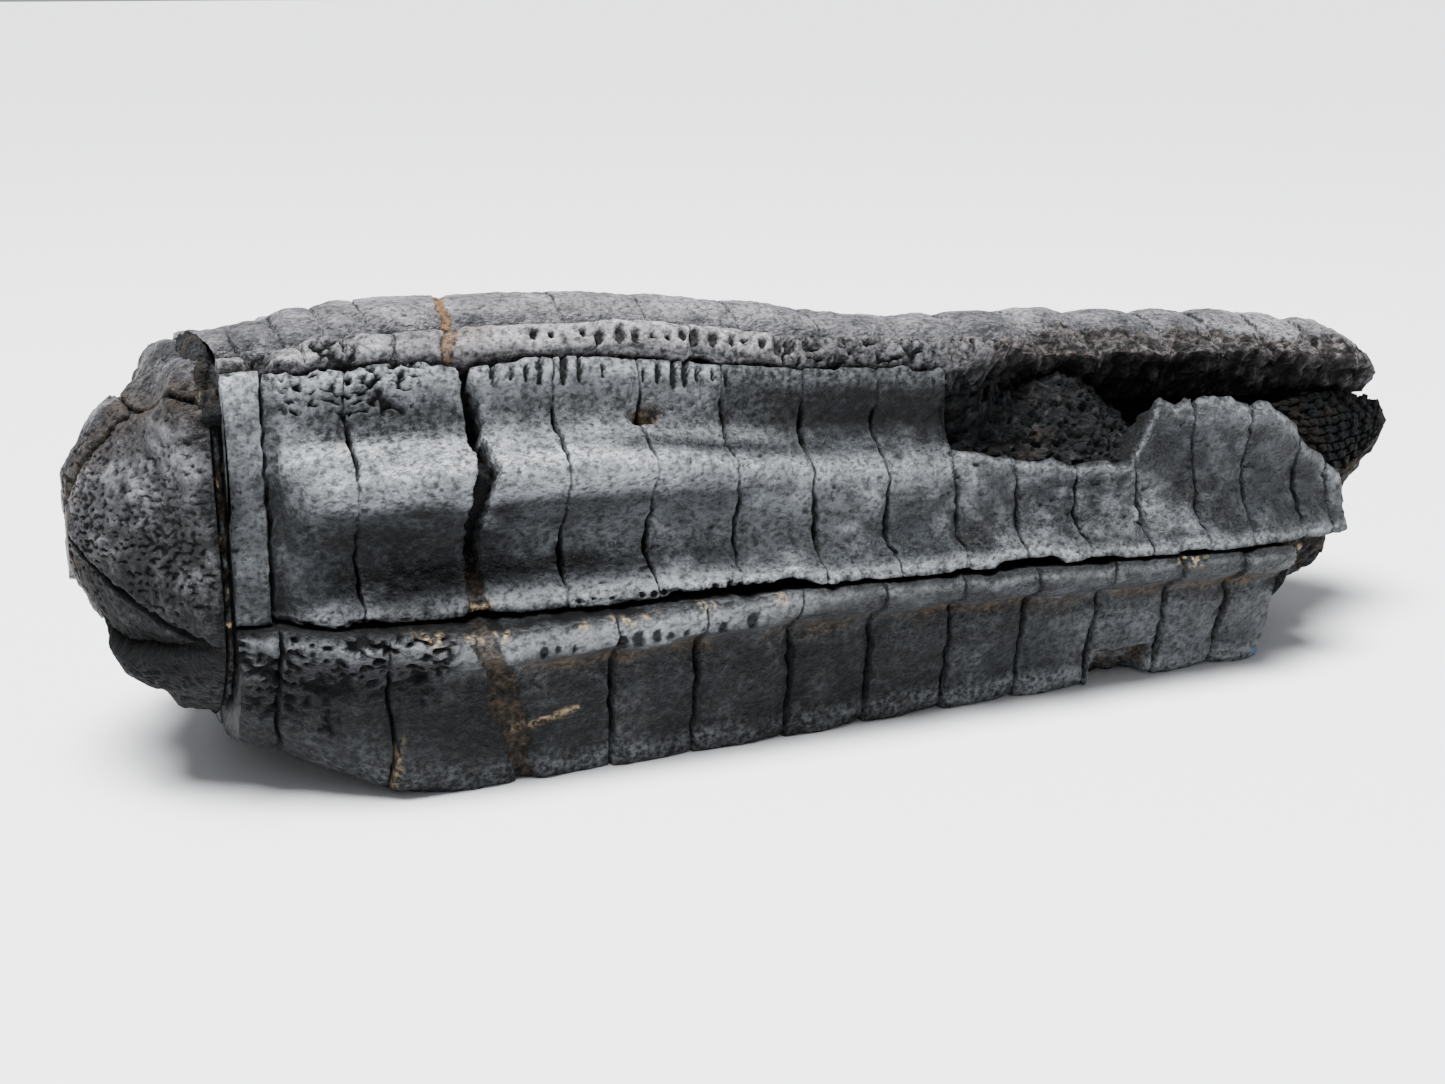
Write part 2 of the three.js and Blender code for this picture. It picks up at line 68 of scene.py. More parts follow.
# Direction each plate faces (x, front, up), its dome's middle (x, front, up) and radius, mm.
CUP_PLATES = {
    "radial_front": ((-0.74, 0.76, -0.12), (-49.5, -25, 0.7), 60),
    "radial_top": ((0.1, -0.15, 1.25), (-65, 5.5, -6.6), 40),
    "radial_front_low": ((-0.4, 0.32, -1.06), (-72.2, 1.2, 7.6), 27),
    "radial_rear_high": ((-0.7, -0.7, 0.17), (-66, 17.5, 3.4), 45),
    "radial_rear_low": ((-0.67, -0.35, -0.66), (-71.7, 4.6, 19.6), 40),
    "basal_front": ((-0.76, 0.54, -0.51), (-44.7, -19, 9), 60),
    "basal_top": ((-0.82, -0.1, 0.47), (-66.5, -3.2, 5.1), 34),
    "basal_rear_high": ((-0.75, -0.4, 0.45), (-69.5, 8.5, -3.8), 36),
    "basal_rear": ((-0.88, -0.43, -0.19), (-62.6, 9.2, 11.8), 40),
    "basal_underside": ((-0.85, 0.02, -0.6), (-62.4, 2.4, 16.5), 40),
}
# How far some plates stand proud, and a lobe of the low front radial: its middle and radius, mm.
CUP_STEPS = {"radial_front": 0.2, "basal_top": 0.35, "basal_front": -0.2, "radial_top": -0.1}
CUP_LOBE = ((-85.3, 10, -1.6), 11.1)
# The rim: how deep it lies under the arms' outline along X, and its reach from the cup's middle, mm.
CUP_RIM_X = (-96.0, -90.0, -87.0, -85.5, CUP_FACE_X)
CUP_RIM_SUNK = (27.0, 9.0, 2.0, 0.4, 0.0)
CUP_RIM_REACH = 26.8

# A fixed shuffle and fixed slopes, so that the stone's noise is the same each time.
SHUFFLE = np.random.RandomState(41).permutation(256)
SLOPES = np.random.RandomState(43).normal(size=(256, 3))
SLOPES /= np.linalg.norm(SLOPES, axis=1)[:, None]


def lumps(points, size, seed):
    """Smooth noise from about -1 to 1, its bumps about `size` mm apart."""
    place = points / size + 13.7 * seed
    cell = np.floor(place).astype(int)
    part = place - cell
    blend = part * part * part * (part * (part * 6 - 15) + 10)
    total = np.zeros(len(points))
    for corner in np.ndindex(2, 2, 2):
        at = (cell + corner) & 255
        slope = SLOPES[SHUFFLE[(SHUFFLE[(SHUFFLE[at[:, 0]] + at[:, 1]) & 255] + at[:, 2]) & 255]]
        share = np.prod(np.where(corner, blend, 1 - blend), axis=1)
        total += share * np.sum(slope * (part - corner), axis=1)
    return 1.6 * total


def rough(points, size, octaves, seed):
    """Lumps on lumps, each layer half the size and half the height of the last."""
    layers = [0.5 ** k * lumps(points, size * 0.5 ** k, seed + k) for k in range(octaves)]
    return np.sum(layers, axis=0)


def ramp(values, low, high):
    """0 below `low`, 1 above `high`, smooth between."""
    share = np.clip((values - low) / (high - low), 0, 1)
    return share * share * (3 - 2 * share)


def spots(points, size, seed, low, high):
    """Soft-edged spots: 1 where the noise is above `high`, 0 where it is below `low`."""
    return ramp(lumps(points, size, seed), low, high)


def hump(values, middle, width):
    """1 at `middle`, fading to 0 on both sides."""
    return np.exp(-((values - middle) / width) ** 2)


def axis_height(x):
    return AXIS_HEIGHT + AXIS_SLOPE * (x - AXIS_X)


def polar(x, degrees, radius):
    """Points at an angle round the crown's axis, from the front upwards, in mm."""
    angle = np.radians(degrees)
    return np.stack([x, -radius * np.cos(angle), axis_height(x) + radius * np.sin(angle)], axis=-1)


def wrapped_sheet(columns, rows):
    """A sheet of quads on the XY plane, with the row and column number of each vertex."""
    bm = bmesh.new()
    bmesh.ops.create_grid(bm, x_segments=columns - 1, y_segments=rows - 1, size=1)
    mesh = bpy.data.meshes.new("sheet")
    bm.to_mesh(mesh)
    bm.free()
    flat = np.empty(3 * len(mesh.vertices))
    mesh.vertices.foreach_get("co", flat)
    flat = flat.reshape(-1, 3)
    column = np.rint((flat[:, 0] + 1) / 2 * (columns - 1)).astype(int)
    row = np.rint((flat[:, 1] + 1) / 2 * (rows - 1)).astype(int)
    return mesh, column, row


# Masks on each mesh that say where its stone is dark with dirt and painted shade, pale with wear and
# painted highlight, muddy, flecked and spotted with paint, and how far the meshes keep inside the solids'
# box, mm.
MARKS = ("dirt_and_shade", "wear_and_highlight", "mud", "cream", "paint")
BOX_MARGIN = 0.02
WELD, SLIVER = 2e-6, 1e-7  # metres


def placed(name, data):
    """A new object at the origin that holds a mesh, a lamp or a camera."""
    made = bpy.data.objects.new(name, data)
    bpy.context.collection.objects.link(made)
    return made


def finished(name, mesh, points, marks, material, node):
    """Places a sheet's vertices, welds its seam and poles, and puts it on the crown."""
    low, high = (np.array(corner) / MM for corner in cad_box)
    places = np.clip(points + SHIFT, low + BOX_MARGIN, high - BOX_MARGIN)
    mesh.vertices.foreach_set("co", (places * MM).ravel())
    for mark in MARKS:
        values = np.clip(np.zeros(len(points)) + marks.get(mark, 0), 0, 1)
        layer = mesh.attributes.new(mark, "FLOAT", "POINT")
        layer.data.foreach_set("value", values.astype(np.float32))
    bm = bmesh.new()
    bm.from_mesh(mesh)
    bmesh.ops.remove_doubles(bm, verts=bm.verts, dist=WELD)
    bmesh.ops.dissolve_degenerate(bm, edges=bm.edges, dist=SLIVER)
    bmesh.ops.recalc_face_normals(bm, faces=bm.faces)
    for face in bm.faces:
        face.smooth = True
    bm.to_mesh(mesh)
    bm.free()
    mesh.name = name
    mesh.materials.append(material)
    piece = placed(name, mesh)
    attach(piece, "root")
    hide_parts(node)


def colour(hex_value):
    """An sRGB hex colour as the linear values Blender's sockets take."""
    channels = [int(hex_value[i:i + 2], 16) / 255 for i in (1, 3, 5)]
    return (*[c / 12.92 if c <= 0.04045 else ((c + 0.055) / 1.055) ** 2.4 for c in channels], 1.0)


def add(tree, kind, settings=(), **links):
    """A node with its settings, and its inputs linked to sockets or set to values."""
    node = tree.nodes.new(kind)
    for key, value in dict(settings).items():
        setattr(node, key, value)
    for key, value in links.items():
        name = key.replace("_", " ")
        socket = node.inputs[int(name[2:])] if name.startswith("at") else node.inputs[name]
        if isinstance(value, bpy.types.NodeSocket):
            tree.links.new(value, socket)
        else:
            socket.default_value = value
    return node


# Sizes in the stone, mm: cloudy patches, mottling, grit, crystal faces (finer in the real stone, and
# drawn as coarse as they need to show), dust, and the height of the relief that they make.
PATCH_MM, MOTTLE_MM, GRIT_MM, CRYSTAL_MM, DUST_MM, RELIEF_MM = 16, 4, 0.8, 0.36, 0.35, 0.55
# Colours: near-black for dirt and for painted shade, wet mud, cream flecks and a blue paint spot.
DIRT_AND_SHADE, WET_MUD, CREAM_FLECK, PAINT_SPOT = "#050607", "#1c1610", "#bda684", "#2f7fd0"
DIRT_AND_SHADE_ROUGHNESS = 0.95


def stone(name, tones, finish, sediment="#4a3c2b", shine=0.2):
    """Crinoid stone: calcite turned slate dark, matte with a faint sheen on worn edges.

    tones: dark, middle, light and pale hex colours, the pale one for wear and painted highlight. finish:
    roughness of the smoothest and of the dullest crystals. sediment: the dried mud's colour. shine: the
    specular level, low in dusty stone. Wear and painted highlight, mud, cream flecks, paint, and dirt and
    painted shade lie where the mesh's masks say.
    """
    material = bpy.data.materials.new(name)
    material.use_nodes = True
    tree = material.node_tree
    tree.nodes.clear()
    place = add(tree, "ShaderNodeTexCoord").outputs["Object"]

    def cloud(size_mm, detail, warp=0.0):
        return add(tree, "ShaderNodeTexNoise", Vector=place, Scale=1 / (size_mm * MM),
                   Detail=detail, Roughness=0.6, Distortion=warp).outputs[0]

    def marked(mark):
        return add(tree, "ShaderNodeAttribute", {"attribute_name": mark}).outputs["Fac"]

    def span(value, low, high, to_low=0.0, to_high=1.0):
        return add(tree, "ShaderNodeMapRange", at_0=value, at_1=low, at_2=high, at_3=to_low,
                   at_4=to_high).outputs[0]

    def worked(operation, one, other):
        return add(tree, "ShaderNodeMath", {"operation": operation}, at_0=one, at_1=other).outputs[0]

    def product(one, other):
        return worked("MULTIPLY", one, other)

    def over(share, below, above):
        return add(tree, "ShaderNodeMix", {"data_type": "RGBA"}, at_0=share, at_6=below,
                   at_7=above).outputs[2]

    patches = cloud(PATCH_MM, 3, 0.4)
    mottle = cloud(MOTTLE_MM, 5, 0.3)
    grit = cloud(GRIT_MM, 4)
    drawn_out = add(tree, "ShaderNodeVectorMath", {"operation": "MULTIPLY"}, at_0=place,
                    at_1=(0.6, 1.0, 1.0)).outputs[0]
    crystals = add(tree, "ShaderNodeTexVoronoi", Vector=drawn_out, Scale=1 / (CRYSTAL_MM * MM))
    grain = add(tree, "ShaderNodeSeparateColor", Color=crystals.outputs["Color"]).outputs[0]
    dark, middle, light, pale = (colour(tone) for tone in tones)
    muddy = over(span(grit, 0.35, 0.62), colour(WET_MUD), colour(sediment))
    dirt_and_shade = marked("dirt_and_shade")
    half_dirt_and_shade = product(dirt_and_shade, worked("SUBTRACT", 1.0, dirt_and_shade))
    speckle = product(half_dirt_and_shade, span(grit, 0.35, 0.65, 0.9, -1.6))
    # the pale tone goes where wear and painted highlight are marked; the near-black goes where dirt and
    # painted shade are, speckled at its fringe
    shade = over(span(patches, 0.38, 0.62), dark, middle)
    for share, tone in (
            (span(mottle, 0.45, 0.7, 0, 0.55), light),
            (product(marked("wear_and_highlight"), span(mottle, 0.3, 0.6, 0.55, 1)), pale),
            (span(grit, 0.34, 0.54, 0.75, 0), dark),
            (span(grain, 0.6, 1.0, 0, 0.3), light),
            (span(grain, 0.0, 0.4, 0.55, 0), dark),
            (product(marked("mud"), span(mottle, 0.3, 0.7, 0.75, 1.0)), muddy),
            (product(marked("cream"), span(grit, 0.38, 0.5, 0.1, 1)), colour(CREAM_FLECK)),
            (marked("paint"), colour(PAINT_SPOT)),
            (worked("ADD", dirt_and_shade, speckle), colour(DIRT_AND_SHADE))):
        shade = over(share, shade, tone)
    gloss = span(grain, 0, 1, finish[0], finish[1])
    gloss = add(tree, "ShaderNodeMix", at_0=dirt_and_shade, at_2=gloss, at_3=DIRT_AND_SHADE_ROUGHNESS).outputs[0]
    relief = product(mottle, 1.2)
    for height in (product(grit, 1.6), product(cloud(DUST_MM, 3), 0.8), product(grain, 0.22)):
        relief = worked("ADD", relief, height)
    bump = add(tree, "ShaderNodeBump", Strength=1.0, Distance=RELIEF_MM * MM, Height=relief)
    surface = add(tree, "ShaderNodeBsdfPrincipled", Base_Color=shade, Roughness=gloss,
                  Normal=bump.outputs[0])
    surface.inputs["Specular IOR Level"].default_value = shine
    add(tree, "ShaderNodeOutputMaterial", Surface=surface.outputs[0])
    return material


# Slate-dark replacement calcite with brownish iron stain towards the stem, worn smooth.
cup_stone = stone("worn_calcite_brown_slate", ("#0e0e10", "#29292d", "#525256", "#9fa0a5"), (0.3, 0.55))

# The cup's rim follows the arms, so their measures stand here: where they start, their inner radius
# along X, the gap between two arms, and the seams between them as angles along X.
ARM_BASE_X = -82.3
ARM_INNER = ((ARM_BASE_X, 60, 76, 100), (17, 17, 16.5, 15))
GAP = 0.3
UNDERSIDE = -80
SEAMS = {
    "underside": ((ARM_BASE_X, 100), (UNDERSIDE, UNDERSIDE)),
    "low_front": ((ARM_BASE_X, -43, -10, 48, 76), (-4, -3, 0, -1, -2)),
    "top_front": ((ARM_BASE_X, -43, -31, -10, 100), (52, 53.5, 54, 50.5, 50)),
    "top_rear": ((ARM_BASE_X, 100), (127, 126)),
    "rear": ((ARM_BASE_X, 100), (204, 205)),
    "underside_turned": ((ARM_BASE_X, 100), (UNDERSIDE + 360, UNDERSIDE + 360)),
}
# Cross-sections by their X: radii at fixed shares of the way from an arm's low seam to its high seam.
PROFILES = {
    "arm_front_low": dict(
        low="underside", high="low_front", shares=(0, 0.2, 0.38, 0.48, 0.58, 0.75, 0.86, 0.93, 1),
        sections={
            ARM_BASE_X: (20.5, 21, 22.6, 23.6, 23.8, 23.6, 23.4, 23.2, 23),
            -71: (21, 22, 26.4, 29.4, 30, 28.2, 27, 28.4, 28),
            -65.6: (21, 22.9, 29, 33.4, 34, 30.2, 28.4, 30, 29.6),
            -58: (21, 22.9, 29.7, 34.4, 33.8, 30.2, 29, 31.2, 30.8),
            -43: (21, 22.9, 29.7, 34.6, 32.7, 30.2, 29.2, 31.7, 31.3),
            7: (20, 21.5, 27, 31.2, 29.4, 27.6, 26.9, 30.2, 30.8),
            63.5: (19.5, 20.5, 25.2, 28.6, 27.4, 26.4, 26, 28.6, 29),
        }),
    "arm_front": dict(
        low="low_front", high="top_front",
        shares=(0, 0.06, 0.15, 0.25, 0.35, 0.45, 0.57, 0.7, 0.85, 1),
        sections={
            ARM_BASE_X: (23, 22.9, 23, 23.3, 23.9, 24.7, 26, 28.1, 31.8, 37),
            -76.9: (23, 22.9, 23, 23.3, 23.9, 24.7, 26, 28.1, 31.8, 37),
            -71: (26.5, 26, 24.4, 22.9, 23.8, 26.2, 31.6, 31.7, 31, 36.8),
            -43: (27.3, 26.6, 24.6, 22.6, 23.6, 26.7, 32.7, 32.3, 30.9, 36.8),
            -31: (28.6, 28, 26, 24.6, 25.6, 28.6, 32.3, 31, 29.9, 35.2),
            -10: (31.2, 30.2, 27.6, 26.6, 27.2, 28.4, 29.6, 28.2, 28.6, 34.2),
            20: (30, 28.9, 26.4, 25.7, 26, 27, 27.4, 26.8, 27.7, 33.4),
            48: (30.4, 29.2, 27.1, 26.2, 25.9, 26.2, 27.2, 30, 32, 33),
            62: (28.2, 27.4, 26, 25, 24.8, 25.4, 28, 31, 32, 33),
            76: (25.4, 24.8, 23.8, 23.1, 23.1, 23.8, 25.5, 28, 29, 30),
        }),
    "arm_top": dict(
        low="top_front", high="top_rear",
        shares=(0, 0.05, 0.12, 0.22, 0.36, 0.5, 0.64, 0.78, 0.88, 0.95, 1),
        sections={
            ARM_BASE_X: (37, 35.8, 33.4, 30.6, 28.9, 28.6, 28.4, 29, 30, 31, 31.6),
            -75: (37, 35.8, 33.4, 30.2, 29.6, 30, 29.2, 29, 30.4, 31.6, 32),
            -71: (36.8, 37.6, 34, 29.6, 30.8, 31.4, 30.6, 29, 31.4, 33, 32.3),
            -60: (36.8, 38.1, 34.3, 29.4, 31.8, 33, 31.8, 29, 31.8, 33.7, 32.3),
            -35: (36.8, 38.3, 34.3, 29.4, 32, 33.2, 32, 29, 31.8, 33.7, 32.3),
            -10: (34.6, 36.4, 32.4, 27.8, 30.2, 31.2, 30.2, 27.8, 30.4, 32.2, 31),
            12: (33.4, 34.8, 30.8, 26.4, 27.4, 28, 27.4, 26, 28.4, 30.4, 29.6),
            34: (32, 32.8, 29.6, 26, 27.2, 28.2, 27.4, 25.6, 27.8, 29.4, 28.6),
            68: (29, 29, 27.6, 25.4, 26.4, 27.2, 26.4, 24.6, 26.4, 27.6, 27),
            86: (24, 24, 24, 24, 24.6, 25, 24.4, 23.4, 24, 24.6, 24),
            93.5: (19.4, 19.4, 19.4, 19.8, 20.6, 21.2, 20.4, 19.6, 19.4, 19.2, 18.8),
        }),
    "arm_rear_high": dict(
        low="top_rear", high="rear", shares=(0, 0.1, 0.27, 0.5, 0.73, 0.9, 1),
        sections={
            ARM_BASE_X: (31.6, 29.2, 26, 24.6, 25.4, 27.6, 29.5),
            -71: (32.3, 33.2, 28.2, 31, 28, 30, 29.5),
            -43: (32.3, 33.5, 28.5, 32, 28.5, 31, 29.5),
            7: (29.6, 30.6, 26, 29, 26, 28, 27),
            72: (26.6, 27, 23.8, 26, 23.8, 25, 24.6),
        }),
    "arm_rear_low": dict(
        low="rear", high="underside_turned", shares=(0, 0.1, 0.27, 0.5, 0.73, 0.9, 1),
        sections={
            ARM_BASE_X: (29.5, 27.4, 24.6, 22.6, 21.4, 20.8, 20.5),
            -71: (29.5, 30, 25.4, 27, 22, 21.6, 21),
            -43: (29.5, 30, 25.5, 27, 22, 21.8, 21),
            7: (27, 27.5, 23.8, 25.2, 20.8, 20.6, 20),
            53.5: (25, 25.4, 22.2, 23.5, 19.6, 19.6, 19.5),
        }),
}
PROFILE_STEPS = 160


def rounded_profile(shares, radii):
    """Radii at even shares, drawn as a smooth curve through a section's own points."""
    shares, radii = np.array(shares, float), np.array(radii, float)
    slopes = np.gradient(radii, shares)
    even = np.linspace(0, 1, PROFILE_STEPS)
    part = np.clip(np.searchsorted(shares, even, side="right") - 1, 0, len(shares) - 2)
    width = shares[part + 1] - shares[part]
    t = (even - shares[part]) / width
    return ((2 * t ** 3 - 3 * t ** 2 + 1) * radii[part]
            + (t ** 3 - 2 * t ** 2 + t) * width * slopes[part]
            + (3 * t ** 2 - 2 * t ** 3) * radii[part + 1]
            + (t ** 3 - t ** 2) * width * slopes[part + 1])


for profile in PROFILES.values():
    sections = profile["sections"]
    profile["places"] = np.array(list(sections))
    profile["curves"] = np.array([rounded_profile(profile["shares"], r) for r in sections.values()])


def face_radius(name, x, share):
    """The radius of an arm's face at a place along X and a share of its width."""
    profile = PROFILES[name]
    places, curves = profile["places"], profile["curves"]
    k = np.clip(np.searchsorted(places, x, side="right") - 1, 0, len(places) - 2)
    t = np.clip((x - places[k]) / (places[k + 1] - places[k]), 0, 1)
    step = np.clip(share, 0, 1) * (PROFILE_STEPS - 1)
    m = np.minimum(step.astype(int), PROFILE_STEPS - 2)
    f = step - m
    near = curves[k, m] * (1 - f) + curves[k, m + 1] * f
    far = curves[k + 1, m] * (1 - f) + curves[k + 1, m + 1] * f
    return near * (1 - t) + far * t


def arms_outline(degrees):
    """Radius of the five arms together where they start, at any angle."""
    turned = (degrees - UNDERSIDE) % 360 + UNDERSIDE
    radius = np.full(len(turned), 23.0)  # kept only where rounding leaves a seam to neither arm
    at_base = np.full(len(turned), ARM_BASE_X)
    for name, profile in PROFILES.items():
        low = np.interp(ARM_BASE_X, *SEAMS[profile["low"]])
        high = np.interp(ARM_BASE_X, *SEAMS[profile["high"]])
        share = (turned - low) / (high - low)
        mine = (share >= 0) & (share <= 1)
        radius[mine] = face_radius(name, at_base[mine], share[mine])
    return radius


def soft_least(one, other, reach):
    """The smaller of two fields, rounded over where they meet."""
    share = np.clip(0.5 + 0.5 * (other - one) / reach, 0, 1)
    return other * (1 - share) + one * share - reach * share * (1 - share)


def around_cup(at):
    """A place given as (x, front, up) from the crown's axis at the cup."""
    return np.array([at[0], -at[1], axis_height(CUP_MIDDLE_X) + at[2]])


def cup_shares(points):
    """Each point's plate, and its distance from the edge to the nearest other plate."""
    facing = np.array([[f[0], -f[1], f[2]] for f, _, _ in CUP_PLATES.values()])
    scores = (points - CUP_MIDDLE) @ facing.T
    order = np.argsort(-scores, axis=1)
    rank = np.arange(len(points))
    first, second = order[:, 0], order[:, 1]
    spread = np.linalg.norm(facing[first] - facing[second], axis=1)
    return first, second, (scores[rank, first] - scores[rank, second]) / spread


DOME_BLEND, RIM_BLEND, LOBE_BLEND = 1.2, 2.0, 1.5  # mm over which they run into each other


def outside_cup(points):
    """Below zero inside the cup: its domes joined to a rim in the arms' outline, and one lobe."""
    domes = np.full(len(points), -1e3)
    for _, at, radius in CUP_PLATES.values():
        inside = radius - np.linalg.norm(points - around_cup(at), axis=1)
        domes = -soft_least(-domes, inside, DOME_BLEND)
    height = points[:, 2] - axis_height(points[:, 0])
    outline = arms_outline(np.degrees(np.arctan2(height, -points[:, 1])))
    sunk = np.interp(points[:, 0], CUP_RIM_X, CUP_RIM_SUNK)
    rim = np.hypot(points[:, 1], height) - outline + sunk
    rim = np.maximum(rim, np.linalg.norm(points - CUP_MIDDLE, axis=1) - CUP_RIM_REACH)
    body = soft_least(domes, rim, RIM_BLEND)
    plate = cup_shares(points)[0]
    lobe = np.linalg.norm(points - around_cup(CUP_LOBE[0]), axis=1) - CUP_LOBE[1]
    swells = plate == list(CUP_PLATES).index("radial_front_low")
    return np.where(swells, soft_least(body, lobe, LOBE_BLEND), body)


# The skin is searched for along rays from the cup's middle: how far out, and in how many halvings.
CUP_COLUMNS, CUP_ROWS, CUP_FACE_ROWS = 610, 150, 10
CUP_SPREAD = 84  # degrees from the stem end to the rim, as seen from the cup's middle
CUP_FARTHEST, CUP_SEARCHES = 45.0, 18
CUP_CRACK_HALF, CUP_SUTURE_HALF = 0.42, 0.16  # half widths, mm
CUP_CRACK_DEPTH, CUP_SUTURE_DEPTH, CUP_PILLOW_DEPTH, CUP_POCK_DEPTH = 1.8, 0.7, 0.6, 0.3
mesh, column, row = wrapped_sheet(CUP_COLUMNS, CUP_ROWS + CUP_FACE_ROWS)
turn = 2 * math.pi * column / (CUP_COLUMNS - 1)
lean = np.radians(CUP_SPREAD) * np.minimum(row, CUP_ROWS - 1) / (CUP_ROWS - 1)
ray = np.stack([-np.cos(lean), -np.sin(lean) * np.cos(turn), np.sin(lean) * np.sin(turn)], axis=1)
inside, outside = np.zeros(len(ray)), np.full(len(ray), CUP_FARTHEST)
for _ in range(CUP_SEARCHES):
    half = (inside + outside) / 2
    hollow = outside_cup(CUP_MIDDLE + ray * half[:, None]) < 0
    inside, outside = np.where(hollow, half, inside), np.where(hollow, outside, half)
points = CUP_MIDDLE + ray * inside[:, None]
plate, other, margin = cup_shares(points)
steps = np.array([CUP_STEPS.get(name, 0.0) for name in CUP_PLATES])


def between(one, two):
    """True beside the suture that two named plates share."""
    pair = {list(CUP_PLATES).index(one), list(CUP_PLATES).index(two)}
    return np.array([{a, b} == pair for a, b in zip(plate, other)])


# the sutures, one of them cracked open, and the pillow shape that they give each plate
cracked = between("radial_front", "basal_front")
ledged = between("radial_front_low", "basal_front")
sway = 0.5 * rough(points, 5, 2, 3)
line = np.abs(margin + 0.3 * rough(points, 2.4, 2, 5))
width = np.clip(np.where(cracked, CUP_CRACK_HALF + 0.35 * sway, CUP_SUTURE_HALF + 0.1 * sway), 0.1, 1)
groove = ramp(-line, -width - 0.22, -width * 0.5)
depth = np.where(cracked, CUP_CRACK_DEPTH, CUP_SUTURE_DEPTH)
pillow = np.exp(-margin / 2.0) * np.where(cracked, 0.4, 1.0)

# weathering: swells and fine ridges, and small pits drawn out along the crown
weather = 0.42 * rough(points, 9, 3, 7) + 0.2 * rough(points, 2.4, 3, 11)
weather -= 0.25 * np.abs(lumps(points, 2.4, 13))
stretched = points * np.array([0.5, 1.0, 1.2])
pitted = lumps(stretched, 0.65, 17) + 0.4 * lumps(points, 7, 19) + 0.2 * ramp(points[:, 2], 20, 30)
pocks = ramp(pitted, 0.38, 0.6)
weather += 0.07 * lumps(stretched, 0.7, 18)
rise = (0.3 + steps[plate] * ramp(margin, 0.2, 1.5) - depth * groove - CUP_PILLOW_DEPTH * pillow
        + weather - CUP_POCK_DEPTH * pocks)
rise *= ramp(CUP_FACE_X - points[:, 0], -0.2, 0.9)
points += ray * rise[:, None]
points[:, 0] = np.minimum(points[:, 0], CUP_FACE_X)

# the flat face towards the arms, drawn in from the rim, whose outline the joint follows
rim = points[row == CUP_ROWS - 1]
rim_height = rim[:, 2] - axis_height(rim[:, 0])
rim_angle = np.degrees(np.arctan2(rim_height, -rim[:, 1]))
rim_radius = np.hypot(rim_height, rim[:, 1])
inward = np.clip((row - CUP_ROWS + 1) / CUP_FACE_ROWS, 0, 1)[:, None]
centre = np.array([CUP_FACE_X, 0.0, CUP_MIDDLE[2] - 4])
points = points * (1 - inward) + centre * inward

# dirt in the grooves, painted shade low on the front where the cup faces down, pale wear on the swells, and
# cream flecks along one ledge
painted_shade_below = ramp(-points[:, 2] + 2 * lumps(points, 7, 31), -38, -27) * ramp(-points[:, 1], 0, 8)
flecked = ledged * hump(line, 1.0, 0.8) * (points[:, 0] > -91)
marks = {
    "dirt_and_shade": 0.95 * groove + 0.5 * pocks + 0.8 * ledged * hump(line, 0, 1.8) + 0.88 * painted_shade_below,
    "wear_and_highlight": ramp(weather, -0.1, 0.4) * 0.6 * (1 - groove),
    "mud": 0.45 * spots(points, 8, 23, 0.1, 0.6) * (points[:, 0] < -93) + 0.6 * pillow * ~cracked,
    "cream": flecked * ramp(rough(points, 1.6, 2, 29), 0.0, 0.25),
}
finished("cup_plates", mesh, points, marks, cup_stone, "cup")


# Arms. Five broad unbranched arms, each a row of thick brick-like plates tied by hairline sutures,
# which the weather has opened into slits along the hollows. A keel runs down the middle and a flange
# along each seam, where the small side branches sat in pits.

# Slate-dark replacement calcite, bluish and matte, painted paler where it stands proud as a painted
# highlight.
arm_stone = stone("weathered_slate_calcite", ("#0a0b0d", "#1e2124", "#41454a", "#c0c5ca"), (0.26, 0.5))
top_stone = stone("weathered_warm_slate_calcite", ("#1e1f22", "#4e4e52", "#87868b", "#ceccd0"), (0.36, 0.6),
                  "#7b5c38")

# Edges left by the broken plates of the front and the top arm: X and angle. The first plates of
# every arm form a narrow bar that ends at BAR_X.
FRONT_BREAK = ((10.6, 10.9, 20.5, 29, 38.4, 40.3, 42.6, 51, 59.6, 66, 71, 75, 80),
               (60, 33, 28.2, 26.8, 26.5, 32.3, 40.2, 39.4, 37.4, 30.2, 24.6, 19, 19))
TOP_BREAK = ((16, 24.3, 35.5, 44, 53, 64, 75.6, 88, 98), (49, 60, 69, 68, 66, 65, 62, 66, 74))
BAR_X = -77.9
SUTURE_DEPTH, SLIT_DEPTH, POCK_DEPTH, EDGE_WEAR = 0.4, 1.9, 0.65, 0.55  # mm
BROKEN_LEAN = 5.5  # degrees by which a broken side leans in
KEEL_REACH = 0.13  # share of the width over which a place is called proud or hollow
WALL_COLUMNS, BACK_COLUMNS, CAP_ROWS, RULER_MARKS = 14, 7, 8, 4000


def strip_round(column, wall, columns, back):
    """Runs columns up a low wall, across a face, down a high wall and back along the inside.

    Gives the masks of the two walls and the face, the share across on the face and on the inside,
    and the lift: 0 at the inside, 1 on the face.
    """
    low_wall = column < wall
    face = (column >= wall) & (column < wall + columns)
    high_wall = (column >= wall + columns) & (column < 2 * wall + columns)
    across = (column - wall) / (columns - 1)
    inside = 1 - (column - 2 * wall - columns + 1) / (back + 1)
    sinking = 1 - (column - wall - columns + 1) / wall
    lift = np.select([low_wall, face, high_wall], [column / wall, 1.0, sinking], 0.0)
    return low_wall, face, high_wall, across, inside, lift


def end_shrink(row, rows, caps):
    """1 along a body, and down to 0 at the middle of each of its ends."""
    left = rows + 2 * caps - 1 - row
    return np.where(row < caps, row / caps, np.where(row >= caps + rows, left / caps, 1.0))


def close_ends(points, row):
    """Draws the first and the last row each to one point."""
    for end in (0, row.max()):
        points[row == end] = points[row == end].mean(axis=0)


